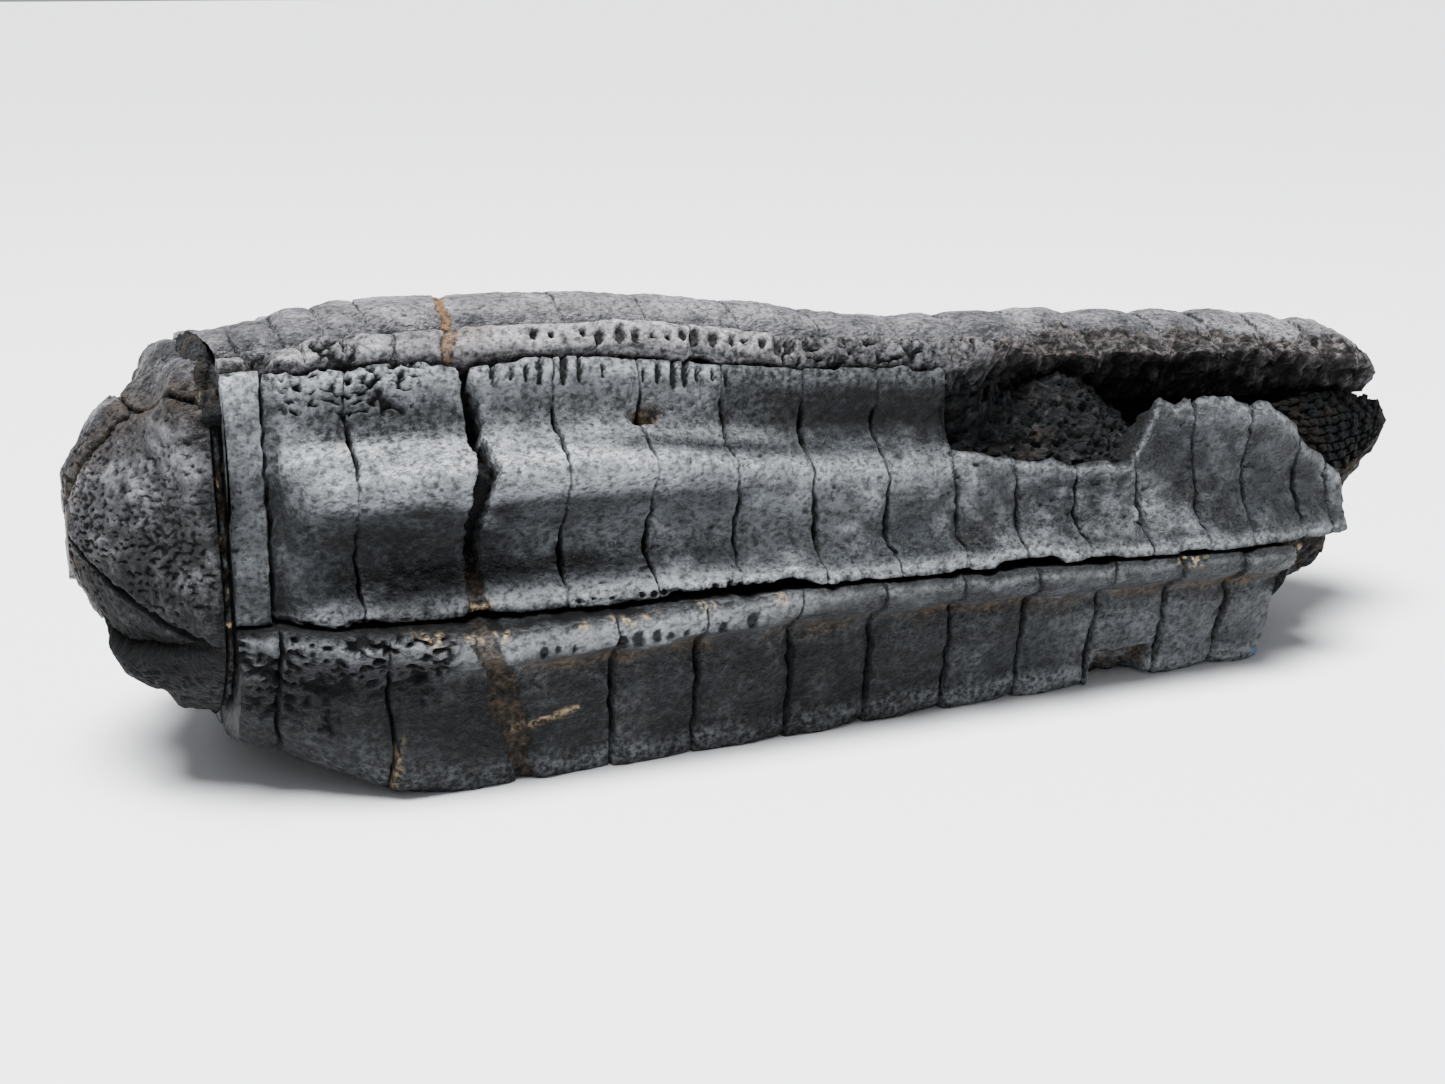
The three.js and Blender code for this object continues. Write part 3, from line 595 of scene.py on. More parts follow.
def dots(x, share, centres, wide, tall):
    """How far into a row of little pits each point is: 1 in the middle of a pit."""
    depth = np.zeros(len(x))
    for k, (at_x, at_share) in enumerate(centres):
        near = np.abs(x - at_x) < 3 * wide
        size = 1 + 0.42 * math.sin(5.1 * k)
        apart = np.hypot((x[near] - at_x) / (wide * size), (share[near] - at_share) / (tall * size))
        depth[near] = np.maximum(depth[near], 1 - ramp(apart, 0.7, 1.15))
    return depth


def spaced(start, end, gap, share, seed):
    """Places for a row of pits, a little uneven and with a few left out."""
    draw = np.random.RandomState(seed)
    return [(x + draw.uniform(-0.5, 0.5), share + draw.uniform(-0.007, 0.007))
            for x in np.arange(start, end, gap) if draw.uniform() > 0.2]


def patch(x, share, box, edge_x=2.5, edge_share=0.05):
    """1 inside a box of (x, share), fading out at its edges."""
    (x0, x1), (s0, s1) = box
    return (ramp(x, x0, x0 + edge_x) * ramp(-x, -x1, -x1 + edge_x)
            * ramp(share, s0, s0 + edge_share) * ramp(-share, -s1, -s1 + edge_share))


def build_arm(name, material, columns, rows, sutures, fracture, slits, pits, zones, seed,
              end=None, swell=((-90, 100), (0.22, 0.22)), cut=("", None), chip=None, extras=None,
              agape=((-90, 100), (0, 0)), painted_hollow_shade=((-90, 100), (0.6, 0.6))):
    """One arm as a closed body: its face between two seams, its sides, its inside and its ends.

    sutures: X of the lines between plates. fracture: the old break's angles, X, half width, depth and
    how full of mud it is. slits: shares of the width where sutures gape. pits: rows of (places, wide
    mm, tall share, deep mm). zones: boxes of heavy pitting. swell and agape: along X, how far plates
    swell and how far the low seam opens. The last argument: along X, how dark the painted shade in the
    hollows is. cut: the side that is broken away, and its edge. chip: a box of X and angle, and the
    radius of its floor. extras: gives what only this arm has.
    """
    profile = PROFILES[name]
    start, end = ARM_BASE_X, profile["places"][-1] if end is None else end
    total = WALL_COLUMNS + columns + WALL_COLUMNS + BACK_COLUMNS
    mesh, column, row = wrapped_sheet(total + 1, rows + 2 * CAP_ROWS)
    column = column % total
    low_wall, on_face, high_wall, across, inside, lift = strip_round(
        column, WALL_COLUMNS, columns, BACK_COLUMNS)
    denser_edges = across - 0.5 * np.sin(2 * math.pi * across) / (2 * math.pi)
    share_cut = np.select([low_wall, on_face, high_wall], [0.0, denser_edges, 1.0], inside)

    # stations along X, closer where sutures, the old break and pits need them
    lines = np.sort(np.array(sutures, float))
    ruler = np.linspace(start, end, RULER_MARKS)
    crowd = 1 + 3.5 * np.exp(-(np.min(np.abs(ruler[:, None] - lines), axis=1) / 0.6) ** 2)
    crowd += 2.2 * ((ruler > min(fracture["x"]) - 1.5) & (ruler < max(fracture["x"]) + 1.5))
    for centres, wide, tall, deep in pits:
        crowd += 0.5 * ((ruler > centres[0][0] - 1) & (ruler < centres[-1][0] + 1))
    count = np.concatenate([[0], np.cumsum((crowd[1:] + crowd[:-1]) / 2)])
    stations = np.interp(np.linspace(0, count[-1], rows), count, ruler)
    level = stations[np.clip(row - CAP_ROWS, 0, rows - 1)]
    shrink = end_shrink(row, rows, CAP_ROWS)

    # the arm's edges: its seams, or the ragged line where it is broken away
    x = level.copy()
    inner = np.interp(x, *ARM_INNER)
    gap = np.degrees(GAP / 2 / inner)
    low = np.interp(x, *SEAMS[profile["low"]]) + gap
    high = np.interp(x, *SEAMS[profile["high"]]) - gap
    along_edge = np.stack([x, np.zeros(len(x)), np.full(len(x), 3.0 * seed)], axis=1)
    low_cut = low + np.interp(x, *agape) + 0.8 * ramp(rough(along_edge, 7, 4, seed + 50), 0.0, 0.6)
    high_cut = high - 0.8 * ramp(rough(along_edge, 6, 4, seed + 52), 0.0, 0.6)
    cut_side, cut_line = cut
    if cut_side == "high":
        high_cut = np.minimum(high_cut, np.interp(x, *cut_line) + 1.6 * rough(along_edge, 3.5, 4, seed))
    if cut_side == "low":
        low_cut = np.maximum(low_cut, np.interp(x, *cut_line) + 2.0 * rough(along_edge, 4, 3, seed))
    theta = low_cut + (high_cut - low_cut) * share_cut
    share = (theta - low) / (high - low)
    outer = face_radius(name, x, share)
    place = polar(x, theta, outer)

    # sutures and the swell of each plate between them
    waves = 0.5 * lumps(place, 7, seed + 1) + 0.3 * rough(place, 2.2, 2, seed + 2)
    x = x + waves * ramp(level, start, start + 3) * ramp(-level, -end, -end + 3)
    outer = face_radius(name, x, share)
    place = polar(x, theta, outer)
    edges = np.concatenate([[start], lines, [end]])
    k = np.clip(np.searchsorted(edges, level) - 1, 0, len(edges) - 2)
    into = (level - edges[k]) / np.maximum(edges[k + 1] - edges[k], 0.1)
    nearest = np.min(np.abs(level[:, None] - lines[None, :]), axis=1)
    gape = np.zeros(len(x))
    for low_share, high_share in slits:
        half = (high_share - low_share) / 2
        gape = np.maximum(gape, np.clip(1 - (share - low_share - half) ** 2 / half ** 2, 0, 1) ** 0.6)
    gape *= 0.35 + 0.8 * spots(place, 9, seed + 4, -0.5, 0.3)
    gape = np.where(np.abs(level - BAR_X) < 1.2, 0.6, gape)
    width = 0.09 + 0.2 * gape + 0.03 * lumps(place, 1.5, seed + 3)
    hair = ramp(-nearest, -width - 0.1, -width * 0.6)
    faint = 0.45 + 0.55 * spots(place, 5, seed + 6, -0.5, 0.1)
    sunk = hair * (SUTURE_DEPTH * faint + SLIT_DEPTH * gape)
    ease = np.exp(-nearest / 0.7)
    swelling = np.interp(level, *swell)
    plump = swelling * (1 - (2 * into - 1) ** 2) - 0.16 * ease
    shingle = 1.2 * swelling * np.exp(-into * 3.0) * spots(place, 12, seed + 8, -0.6, 0.4)

    # weathering: swells, chisel-like ridges, pitted crust and the rows of pits along the seams
    weather = 0.3 * rough(place, 8, 3, seed + 5) + 0.16 * rough(place, 2.4, 3, seed + 9)
    beside = face_radius(name, x, share - KEEL_REACH) + face_radius(name, x, share + KEEL_REACH)
    proud = outer - beside / 2
    chisel = np.abs(lumps(place * np.array([1.0, 1.0, 2.4]), 2.6, seed + 12))
    grain = -0.28 * chisel * spots(place, 14, seed + 13, -0.35, 0.35)
    grain += 0.13 * lumps(place * np.array([0.6, 1.0, 1.0]), 0.95, seed + 17)
    crust = np.zeros(len(x))
    for box in zones:
        crust = np.maximum(crust, patch(x, share, box))
    cells = lumps(place, 1.5, seed + 14) + 0.4 * lumps(place, 0.8, seed + 15)
    holes = lumps(place, 0.95, seed + 18) + 0.5 * lumps(place, 3, seed + 19)
    pocks = ramp(cells + 0.3 * lumps(place, 8, seed + 16), 0.62, 0.95) * 0.6
    pocks = np.maximum(pocks, 1.35 * crust * ramp(holes, 0.08, 0.32)) * lift ** 3
    socket = np.zeros(len(x))
    for centres, wide, tall, deep in pits:
        socket = np.maximum(socket, deep * dots(x, share, centres, wide, tall))

    # the old break across the whole crown, healed with brown mud in places
    at, half, fill = (np.interp(theta, fracture["angles"], fracture[key]) for key in ("x", "half", "fill"))
    broad = half * (1 + 0.25 * lumps(place, 4, seed + 20))
    off = np.abs(x - at + 0.5 * rough(place, 3.5, 3, seed + 21)) / broad
    open_crack = ramp(-off, -1.0, -0.8)
    crack_depth = open_crack * (fracture["depth"] * (1 - fill) + 0.45 * fill
                                + (0.6 - 0.3 * fill) * rough(place, 1.6, 3, seed + 24))
    chipped = 0.3 * np.exp(-np.maximum(off - 1, 0) * broad / 0.8)

    # worn round edges along the seams
    arc = np.minimum(theta - low_cut, high_cut - theta) * math.pi / 180 * outer
    edge = EDGE_WEAR * np.exp(-arc / 0.7)
    rise = (plump + shingle + weather + grain - sunk - POCK_DEPTH * pocks - socket - crack_depth
            - chipped - edge)
    rise += 0.15
    mud = open_crack * fill
    # dark in the sutures, pits and crack and along the seams, and painted shade in the hollows, its
    # strength along X set by the last argument
    dirt_and_shade = np.max([hair * (0.6 * faint + 0.6 * gape), np.clip(socket / 0.6, 0, 1) * 0.85,
                   np.minimum(0.75 * pocks, 0.95), np.interp(x, *painted_hollow_shade) * ramp(-proud, 0.2, 2.6),
                   open_crack * (1 - fill), 0.5 * np.exp(-arc / 0.5)], axis=0)
    if chip:
        box, floor = chip
        hole = patch(x, theta, box, 1.4, 3)
        bottom = floor - outer + 0.9 * rough(place, 2.2, 3, seed + 30)
        rise = rise * (1 - hole) + hole * np.minimum(rise, bottom)
        mud = np.maximum(mud, hole * (0.5 + 0.5 * spots(place, 3, seed + 33, -0.2, 0.4)))
        dirt_and_shade = np.maximum(dirt_and_shade, 0.5 * hole * spots(place, 1.2, seed + 34, -0.1, 0.3))
    wear_and_highlight = 0.3 * ramp(weather, -0.05, 0.42) + 0.2 * hump(arc, 0.9, 0.6)
    # painted highlight: paler where the stone stands proud, on the keel and the flanges
    wear_and_highlight += 0.55 * ramp(proud, 0.0, 2.6)
    if cut_side == "low":
        past_edge = low_cut - theta + 2.5 * rough(place, 5, 3, seed + 60)
        scab = ramp(low_cut - low, 0.8, 5) * ramp(past_edge, -12, -8)
        rise -= 0.45 * scab * ramp(holes, -0.1, 0.3)
        dirt_and_shade = np.maximum(dirt_and_shade, scab * (0.5 + 0.4 * ramp(cells, -0.2, 0.3)))
        mud = np.maximum(mud, 0.18 * scab)
    more = extras(x, theta, share, place) if extras else {}
    rise += more.get("rise", 0)
    wear_and_highlight += more.get("wear_and_highlight", 0)
    mud = np.maximum(mud, more.get("mud", 0))
    dirt_and_shade = np.maximum(dirt_and_shade, more.get("dirt_and_shade", 0))

    # the walls, ragged where they are broken faces
    radius = inner + (outer - inner) * lift + rise * lift ** 3
    side = lift * (1 - lift) * 4 * (1 - on_face)
    unrolled = np.stack([x, radius, theta * 0.4], axis=1)
    ragged = rough(unrolled, 2.4, 3, seed + 40)
    if cut_side == "low":
        ragged += 0.7 * lumps(unrolled, 0.9, seed + 42)
        lean_in = (1 - lift) * BROKEN_LEAN * (low_cut > low + 2.5)
        theta = theta + np.where(low_wall, lean_in + 2.6 * side * ragged, 0)
    if cut_side == "high":
        theta = theta + np.where(high_wall & (high_cut < high - 2.5), 2.2 * side * ragged, 0)
    sides = np.where(low_wall | high_wall, 1 - lift, 0)
    dirt_and_shade = np.maximum(dirt_and_shade, ramp(sides, 0.02, 0.16) * (0.7 + 0.3 * ramp(ragged, -0.3, 0.1)))

    # ends: the face runs round to the middle of the section
    middle_theta, middle_radius = (low_cut + high_cut) / 2, (inner + outer) / 2
    theta = middle_theta + (theta - middle_theta) * shrink
    radius = middle_radius + (radius - middle_radius) * shrink
    at_tip = (row >= CAP_ROWS + rows - 1).astype(float)
    bulge = 0.9 * rough(polar(x, theta, radius), 3.2, 3, seed + 44)
    x = x + at_tip * np.minimum(0.0, bulge)
    x = np.where(row >= CAP_ROWS + rows, np.minimum(x, end), x)
    x[row == 0] = start
    points = polar(x, theta, radius)
    close_ends(points, row)
    dirt_and_shade = dirt_and_shade * (0.35 + 0.65 * shrink) * np.where(row < CAP_ROWS, 0.6, 1.0)
    marks = {"dirt_and_shade": dirt_and_shade, "wear_and_highlight": wear_and_highlight * (1 - np.clip(dirt_and_shade, 0, 1)) * lift, "mud": mud * lift,
             "cream": more.get("cream", 0) * ramp(lift, 0.8, 1), "paint": more.get("paint", 0)}
    finished(name + "_plates", mesh, points, marks, material, name)


def front_marks(x, theta, share, place):
    """The front arm's tan hole, mud lump and pale seam, painted shade in its hollows and beside the bar,
    painted highlight along its crests and flanges, and paler paint on its bar and in its low trough.
    """
    hole = np.exp(-((x + 31.0) / 1.8) ** 4 - ((theta - 44.4 + 0.6 * lumps(place, 2, 61)) / 1.8) ** 4)
    lump = np.exp(-((x + 53.2) / 1.5) ** 2 - ((theta - 30.5) / 2.6) ** 2)
    seam = np.exp(-(theta + 1.0) ** 2 / 2.2) * ((x > -55) & (x < -52))
    # the dent beside the bar and the two hollows are also darkened as painted shade; the crests and flanges
    # are lightened as painted highlight
    beside_bar = hump(x, -77.2, 1.5) * (x > BAR_X)
    crest_at = np.interp(x, (-76, -60, -48, -27), (0.76, 0.71, 0.69, 0.6))
    crest = hump(share, crest_at, 0.085) * ramp(-x, 22, 50) * (x > -76)
    low_hollow = hump(share, 0.42, 0.1) * ramp(-x, 53, 57) * (x > -76)
    high_hollow = ramp(share, 0.76, 0.84) * ramp(x, -24, -20)
    low_trough = hump(share, 0.3, 0.14) * ramp(x, -52, -44) * ramp(-x, -2, 12)
    right_crest = hump(share, 0.52, 0.12) * ramp(x, -18, -10) * ramp(-x, -14, -6)
    flange = ramp(share, 0.68, 0.76) * ramp(-x, 5, 20)
    low_flange = np.interp(x, (-60, -48, -27, -12), (0, 0.5, 0.45, 0)) * hump(share, 0.07, 0.06)
    return {"rise": -1.6 * hole + 2.2 * lump - 0.8 * beside_bar, "mud": 0.95 * hole,
            "cream": 0.9 * seam * spots(place, 1.2, 63, -0.1, 0.2) + 0.25 * hole,
            "dirt_and_shade": np.max([0.8 * lump, 0.5 * beside_bar, 0.72 * low_hollow, 0.6 * high_hollow], axis=0),
            "wear_and_highlight": 0.5 * crest + 0.12 * (x < BAR_X) + 0.3 * flange + 0.18 * low_trough
            + 0.3 * right_crest + low_flange}


build_arm(
    "arm_front", arm_stone, columns=150, rows=500,
    sutures=(BAR_X, -68, -42.9, -31.7, -20.7, -10, 0.6, 11, 20.1, 29.4, 39.1, 48.3, 57.1, 66.3, 72.2),
    fracture=dict(angles=(-4, 4, 12, 17, 26, 30.5, 41, 50, 55),
                  x=(-54.2, -54.1, -54, -54, -53.6, -52.9, -53.2, -53.6, -53.8),
                  half=(1.2, 1.15, 1.0, 0.9, 1.0, 1.2, 1.0, 0.95, 0.9),
                  fill=(0.85, 0.8, 0.6, 0, 0, 0, 0, 0, 0), depth=4.0),
    slits=((0.08, 0.46), (0.62, 0.92)), painted_hollow_shade=((-58, -50), (0.5, 0.2)),
    agape=((-31, -29, -13, -11, 14, 16, 23, 25), (0, 1.3, 1.6, 0, 0, 1.5, 1.7, 0)),
    pits=((spaced(-50, -20, 1.75, 0.965, 2), 0.36, 0.03, 0.8),
          (spaced(-42, -14, 1.6, 0.03, 3), 0.34, 0.013, 0.6)),
    zones=(((-77, -58), (0.86, 1.08)), ((-77, -60), (-0.06, 0.05))), seed=100, end=75.5,
    cut=("high", FRONT_BREAK), extras=front_marks)


# Cream flecks on the low arm's top edge: X and half length, mm.
LOW_FLECKS = ((-59.5, 3.6), (-53.5, 2.0), (-42.5, 1.2), (-36, 2.6), (-26.4, 0.9), (-16.6, 1.2), (45.3, 2.2))


def low_marks(x, theta, share, place):
    """The low arm's flecks, pale ledge and line, brown stain, painted shade on its lower flank and blue
    paint spot.
    """
    top_edge = hump(share, 0.995, 0.022)
    flecks = np.zeros(len(x))
    for at, reach in LOW_FLECKS:
        flecks = np.maximum(flecks, np.exp(-((x - at) / reach) ** 4))
    flecks = flecks * top_edge * ramp(rough(place, 0.9, 2, 71), 0.05, 0.2)
    ledge_at = np.interp(x, (-51, -46.6, -43), (-30.5, -27.4, -26.2))
    ledge = hump(theta, ledge_at, 0.6) * ((x > -51) & (x < -42.5))
    ledge *= ramp(rough(place, 2, 2, 72), -0.3, 0.2)
    pale = np.exp(-((x + 65.0 - 0.06 * (theta + 31)) / 0.4) ** 2) * (theta < -28)
    pale *= ramp(rough(place, 2, 2, 74), -0.3, 0.1)
    band = hump(share, np.interp(x, (-50, -20, 60), (0.86, 0.84, 0.86)), 0.03)
    stain = band * spots(place, 7, 73, -0.5, 0.3) * (x > -50)
    # painted shade on the lower flank, which faces down, stronger in some stretches along X
    shade = np.interp(x, (-60, -45, -38, -14, 9, 30, 54), (0.72, 0.58, 0.5, 0.72, 0.5, 0.22, 0.15))
    shade *= ramp(-theta, 9, 20) * (1 - patch(x, theta, ((32, 46), (-70, -29)), 2, 4))
    blue = np.exp(-((x - 62.5) / 0.5) ** 4 - ((theta + 39.8) / 0.8) ** 4)
    dull_flange = ramp(share, 0.86, 0.92) * ramp(x, -30, 5)
    return {"rise": 0.5 * flecks - 0.25 * ledge - 0.7 * pale, "mud": stain + 0.3 * ledge + 0.5 * pale,
            "dirt_and_shade": np.maximum(0.45 * stain, shade), "paint": blue,
            "cream": np.max([flecks, 0.75 * ledge, 0.6 * pale], axis=0),
            "wear_and_highlight": 0.14 * ramp(x, 20, 34) * (share < 0.86) - 0.5 * dull_flange}


build_arm(
    "arm_front_low", arm_stone, columns=120, rows=420,
    sutures=(BAR_X, -65.6, -37.9, -26.7, -13.7, -1.9, 10.1, 21.4, 33.2, 44.4, 54.7),
    fracture=dict(angles=(-80, -45, -31, -18, -8, -4), x=(-47.5, -48.5, -50.6, -52.3, -54.5, -55),
                  half=(1.2, 1.3, 1.6, 1.9, 1.6, 1.2), fill=(0.8, 0.85, 0.9, 0.9, 0.8, 0.7), depth=2.6),
    slits=((0.5, 0.86),), swell=((-90, -40, -20), (0.8, 0.8, 0.7)),
    pits=((spaced(-48, -19, 2.1, 0.93, 5), 0.6, 0.02, 0.75),),
    zones=(((-84, -57), (0.78, 1.05)), ((-83, -70), (0.62, 0.9))), seed=200, end=63.5,
    chip=(((33.2, 44.2), (-66, -31)), 27.2), extras=low_marks)


def top_marks(x, theta, share, place):
    """The top arm's muddy near flank, the hollow in its near corner, and its flaked stretch."""
    near = hump(share, 0.06, 0.05)
    hollow = patch(x, share, ((-87, -75.4), (-0.1, 0.36)), 1.2, 0.04)
    hollow *= ramp(lumps(place, 2.6, 85) - 0.02 * (x + 79) ** 2, -0.35, 0.0)
    flaked = patch(x, share, ((12, 30), (-0.05, 0.2))) * spots(place, 3, 83, -0.2, 0.5)
    return {"mud": 0.35 * near * spots(place, 9, 81, 0.1, 0.5),
            "rise": -1.6 * hollow - 0.5 * flaked,
            "dirt_and_shade": np.maximum(0.9 * hollow, 0.62 * ramp(-share, -0.16, -0.06) * ramp(x, -20, -8)),
            "wear_and_highlight": 0.22 * ramp(x, 60, 72) - 0.25 * hump(share, 0.05, 0.05) * (x < -50)}


build_arm(
    "arm_top", top_stone, columns=150, rows=500,
    sutures=(BAR_X, -72.6, -67.4, -62, -36.7, -24.8, -12.5, -0.5, 11.8, 21.9, 32, 42.1, 53.4, 62.2,
             71.2, 80.5, 88.2),
    fracture=dict(angles=(50, 55.6, 79, 90, 127), x=(-55.5, -55.3, -51.8, -51.1, -50.5),
                  half=(0.8, 0.75, 0.8, 0.75, 0.8), fill=(0.7, 0.9, 1, 1, 0.9), depth=2.0),
    slits=((0.14, 0.3),),
    pits=((spaced(-47, -9, 2.1, 0.03, 7), 0.55, 0.013, 0.8),
          (spaced(13, 20, 2.1, 0.05, 8), 0.5, 0.013, 0.7)),
    zones=(((-80, -64), (-0.05, 0.2)), ((-14, 11), (-0.05, 0.1))), seed=300, end=93.5,
    swell=((-80, -66, -50, 0, 25), (0.6, 0.5, 0.22, 0.3, 0.75)),
    cut=("low", TOP_BREAK), extras=top_marks)
build_arm(
    "arm_rear_high", arm_stone, columns=70, rows=250,
    sutures=(BAR_X, -67, -37, -25, -13, -1, 11, 22, 32.5, 43, 53.5, 63.5),
    fracture=dict(angles=(120, 210), x=(-50.5, -49.5), half=(0.9, 1.0), fill=(0.85, 0.85), depth=2.0),
    slits=((0.18, 0.38), (0.62, 0.82)),
    pits=((spaced(-60, 10, 2.2, 0.95, 9), 0.55, 0.014, 0.7),
          (spaced(-60, 30, 2.2, 0.06, 10), 0.55, 0.014, 0.7)),
    zones=(((-83, -60), (0.0, 0.15)),), seed=400)
build_arm(
    "arm_rear_low", arm_stone, columns=66, rows=220,
    sutures=(BAR_X, -66, -38, -26, -14, -2, 10, 21, 32, 43),
    fracture=dict(angles=(200, 285), x=(-51.5, -50.5), half=(1.1, 1.2), fill=(0.8, 0.8), depth=2.2),
    slits=((0.18, 0.38), (0.62, 0.82)),
    pits=((spaced(-60, 10, 2.2, 0.05, 12), 0.55, 0.014, 0.7),),
    zones=(((-83, -66), (0.0, 1.0)),), seed=500)


# Sediment. Sea-floor mud that filled the closed crown and hardened with it: a core inside the arms,
# the ragged joint under the cup with a crust in its upper corner, the rough patch laid bare where the
# front arm is broken, and a lump past the low arm's end.

# Bituminous mudstone: brown-black and granular, with no shine.
mudstone = stone("granular_mudstone", ("#070808", "#121314", "#25272a", "#505357"), (0.5, 0.8),
                 "#33291e", 0.14)

JOINT_MIDDLE_X, JOINT_GAP = (CUP_FACE_X + ARM_BASE_X) / 2, 0.05
DRUM_CAPS = 6


def build_drum(name, xs, ring_radius, columns, seed, bumps, marks_of=None, shift_of=None):
    """A closed body round the axis: stations along X, each with its radius at every angle.

    bumps: their height and size, mm. shift_of: how far a station's middle lies to the front and up.
    """
    rows = len(xs)
    mesh, column, row = wrapped_sheet(columns + 1, rows + 2 * DRUM_CAPS)
    angle = 360.0 * (column % columns) / columns + UNDERSIDE
    x = xs[np.clip(row - DRUM_CAPS, 0, rows - 1)]
    radius = ring_radius(x, angle)
    place = polar(x, angle, radius)
    bare_end = 1 + 2.2 * ramp(x, 50, 62)
    radius = radius + bumps[0] * bare_end * rough(place, bumps[1], 4, seed) - 0.4 * (bare_end - 1)
    points = polar(x, angle, radius * end_shrink(row, rows, DRUM_CAPS))
    if shift_of:
        front, up = shift_of(x)
        points[:, 1] -= front
        points[:, 2] += up
    close_ends(points, row)
    marks = {"dirt_and_shade": 0.5 * spots(place, 1.6, seed + 7, 0.0, 0.4),
             "wear_and_highlight": 0.4 * spots(place, 3, seed + 8, 0, 0.5),
             "mud": 0.7 * spots(place, 9, seed + 9, -0.4, 0.4)}
    if marks_of:
        marks = marks_of(x, place)
    finished(name, mesh, points, marks, mudstone, "matrix_fill")


def joint_radius(x, angle):
    """A little below the arms' outline and the cup's rim, with a slot along each side."""
    edge = np.interp(angle, rim_angle, rim_radius, period=360)
    slots = ramp(np.abs(x - JOINT_MIDDLE_X), 0.2, 0.5)
    return np.minimum(arms_outline(angle), edge) - 0.8 - 0.7 * slots


def joint_marks(x, place):
    slots = ramp(np.abs(x - JOINT_MIDDLE_X), 0.15, 0.4)
    return {"mud": 0.5 * spots(place, 3, 91, -0.4, 0.3),
            "wear_and_highlight": 0.9 * spots(place, 1.2, 92, -0.1, 0.3),
            "cream": 0.9 * spots(place, 1.4, 93, 0.45, 0.6),
            "dirt_and_shade": np.maximum(0.9 * slots, 0.6 * spots(place, 1.5, 95, 0.0, 0.3))}


build_drum("joint_sediment", np.linspace(CUP_FACE_X + JOINT_GAP, ARM_BASE_X - JOINT_GAP, 14),
           joint_radius, columns=560, seed=600, bumps=(0.6, 1.4), marks_of=joint_marks)

# The core along X: its radius, and how far its middle lies to the front and up, mm.
CORE_X = (-83.4, 60, 70, 80, 89, 97.3)
CORE_RADIUS = (16.6, 16.6, 15.1, 12.3, 8.1, 3.3)
CORE_FRONT, CORE_UP = (0, 0, 0, 1, 1.6, 3), (0, 0, 1, 2.5, 6, 10.5)


def core_radius(x, angle):
    """The core's radius, less under the top arm where its near flank is broken off."""
    under_top = ramp(x, 43, 48) * ramp(-x, -86, -80) * ramp(angle, 34, 42) * ramp(-angle, -84, -76)
    return np.interp(x, CORE_X, CORE_RADIUS) - 2.6 * under_top


def core_shift(x):
    return np.interp(x, CORE_X, CORE_FRONT), np.interp(x, CORE_X, CORE_UP)


build_drum("sediment_core", np.linspace(-83.2, 97.0, 150), core_radius, columns=96, seed=620,
           bumps=(0.35, 3.0), shift_of=core_shift)

PATCH_WALL, PATCH_BACK, PATCH_CAPS = 5, 4, 5
PATCH_DOME, PATCH_DROP = 0.9, 1.2  # mm by which its ends bulge, and by which its outside sinks there


def along(*table):
    """A measure that changes along X: its places and its values there, or one value throughout."""
    places, values = table if len(table) == 2 else ((0,), table)
    return lambda x: np.interp(x, places, values)


def build_patch(name, columns, rows, x_range, low, high, inner, outer, seed, bumps, marks_of,
                material=mudstone, step=None):
    """A closed block of sediment between two angles and two radii, rough on its outside.

    low, high: its angles along X. inner, outer: its radii. bumps: their height and size, mm.
    step: adds a pattern of blocks to the outside.
    """
    total = PATCH_WALL + columns + PATCH_WALL + PATCH_BACK
    mesh, column, row = wrapped_sheet(total + 1, rows + 2 * PATCH_CAPS)
    low_wall, face, high_wall, across, inside, lift = strip_round(
        column % total, PATCH_WALL, columns, PATCH_BACK)
    share = np.select([low_wall, face, high_wall], [0.0, across, 1.0], inside)
    shrink = end_shrink(row, rows, PATCH_CAPS)
    x = np.interp(row - PATCH_CAPS, (0, rows - 1), x_range)
    x += np.where(row < PATCH_CAPS, -PATCH_DOME, PATCH_DOME) * (1 - shrink ** 2)
    theta = low(x) + (high(x) - low(x)) * share
    from_end = np.minimum(x - x_range[0], x_range[1] - x)
    top = outer(x, share) - PATCH_DROP * np.exp(-from_end / 0.6) * (shrink == 1)
    place = polar(x, theta, top)
    top = top + bumps[0] * rough(place, bumps[1], 4, seed)
    top -= 0.6 * bumps[0] * spots(place, 1.1, seed + 9, 0.1, 0.6)
    if step:
        top = top + step(x, share)
    radius = inner(x) + (top - inner(x)) * lift
    middle = (low(x) + high(x)) / 2
    theta = middle + (theta - middle) * shrink
    radius = inner(x) + (radius - inner(x)) * shrink
    points = polar(x, theta, radius)
    close_ends(points, row)
    finished(name, mesh, points, marks_of(x, share, place), material, "matrix_fill")


# Radii of the outsides, by the share of the way from the low to the high edge, mm.
BARE_RADIUS = (np.linspace(0, 1, 6), (24.3, 23.6, 23.2, 23.2, 23.2, 22.8))
CORNER_RADIUS = ((0, 0.26, 0.5, 0.63, 1), (33.8, 34.6, 33.4, 32.2, 30.2))
LUMP_RADIUS = (np.linspace(0, 1, 5), (16.5, 19, 20.5, 20.5, 20))


def bare_marks(x, share, place):
    return {"dirt_and_shade": 0.25 + 0.7 * spots(place, 1.1, 97, -0.1, 0.3) + 0.25 * ramp(share, 0.6, 1),
            "mud": 0.4 * spots(place, 6, 98, 0.1, 0.5),
            "wear_and_highlight": 0.3 * spots(place, 1.4, 99, 0.15, 0.4)}


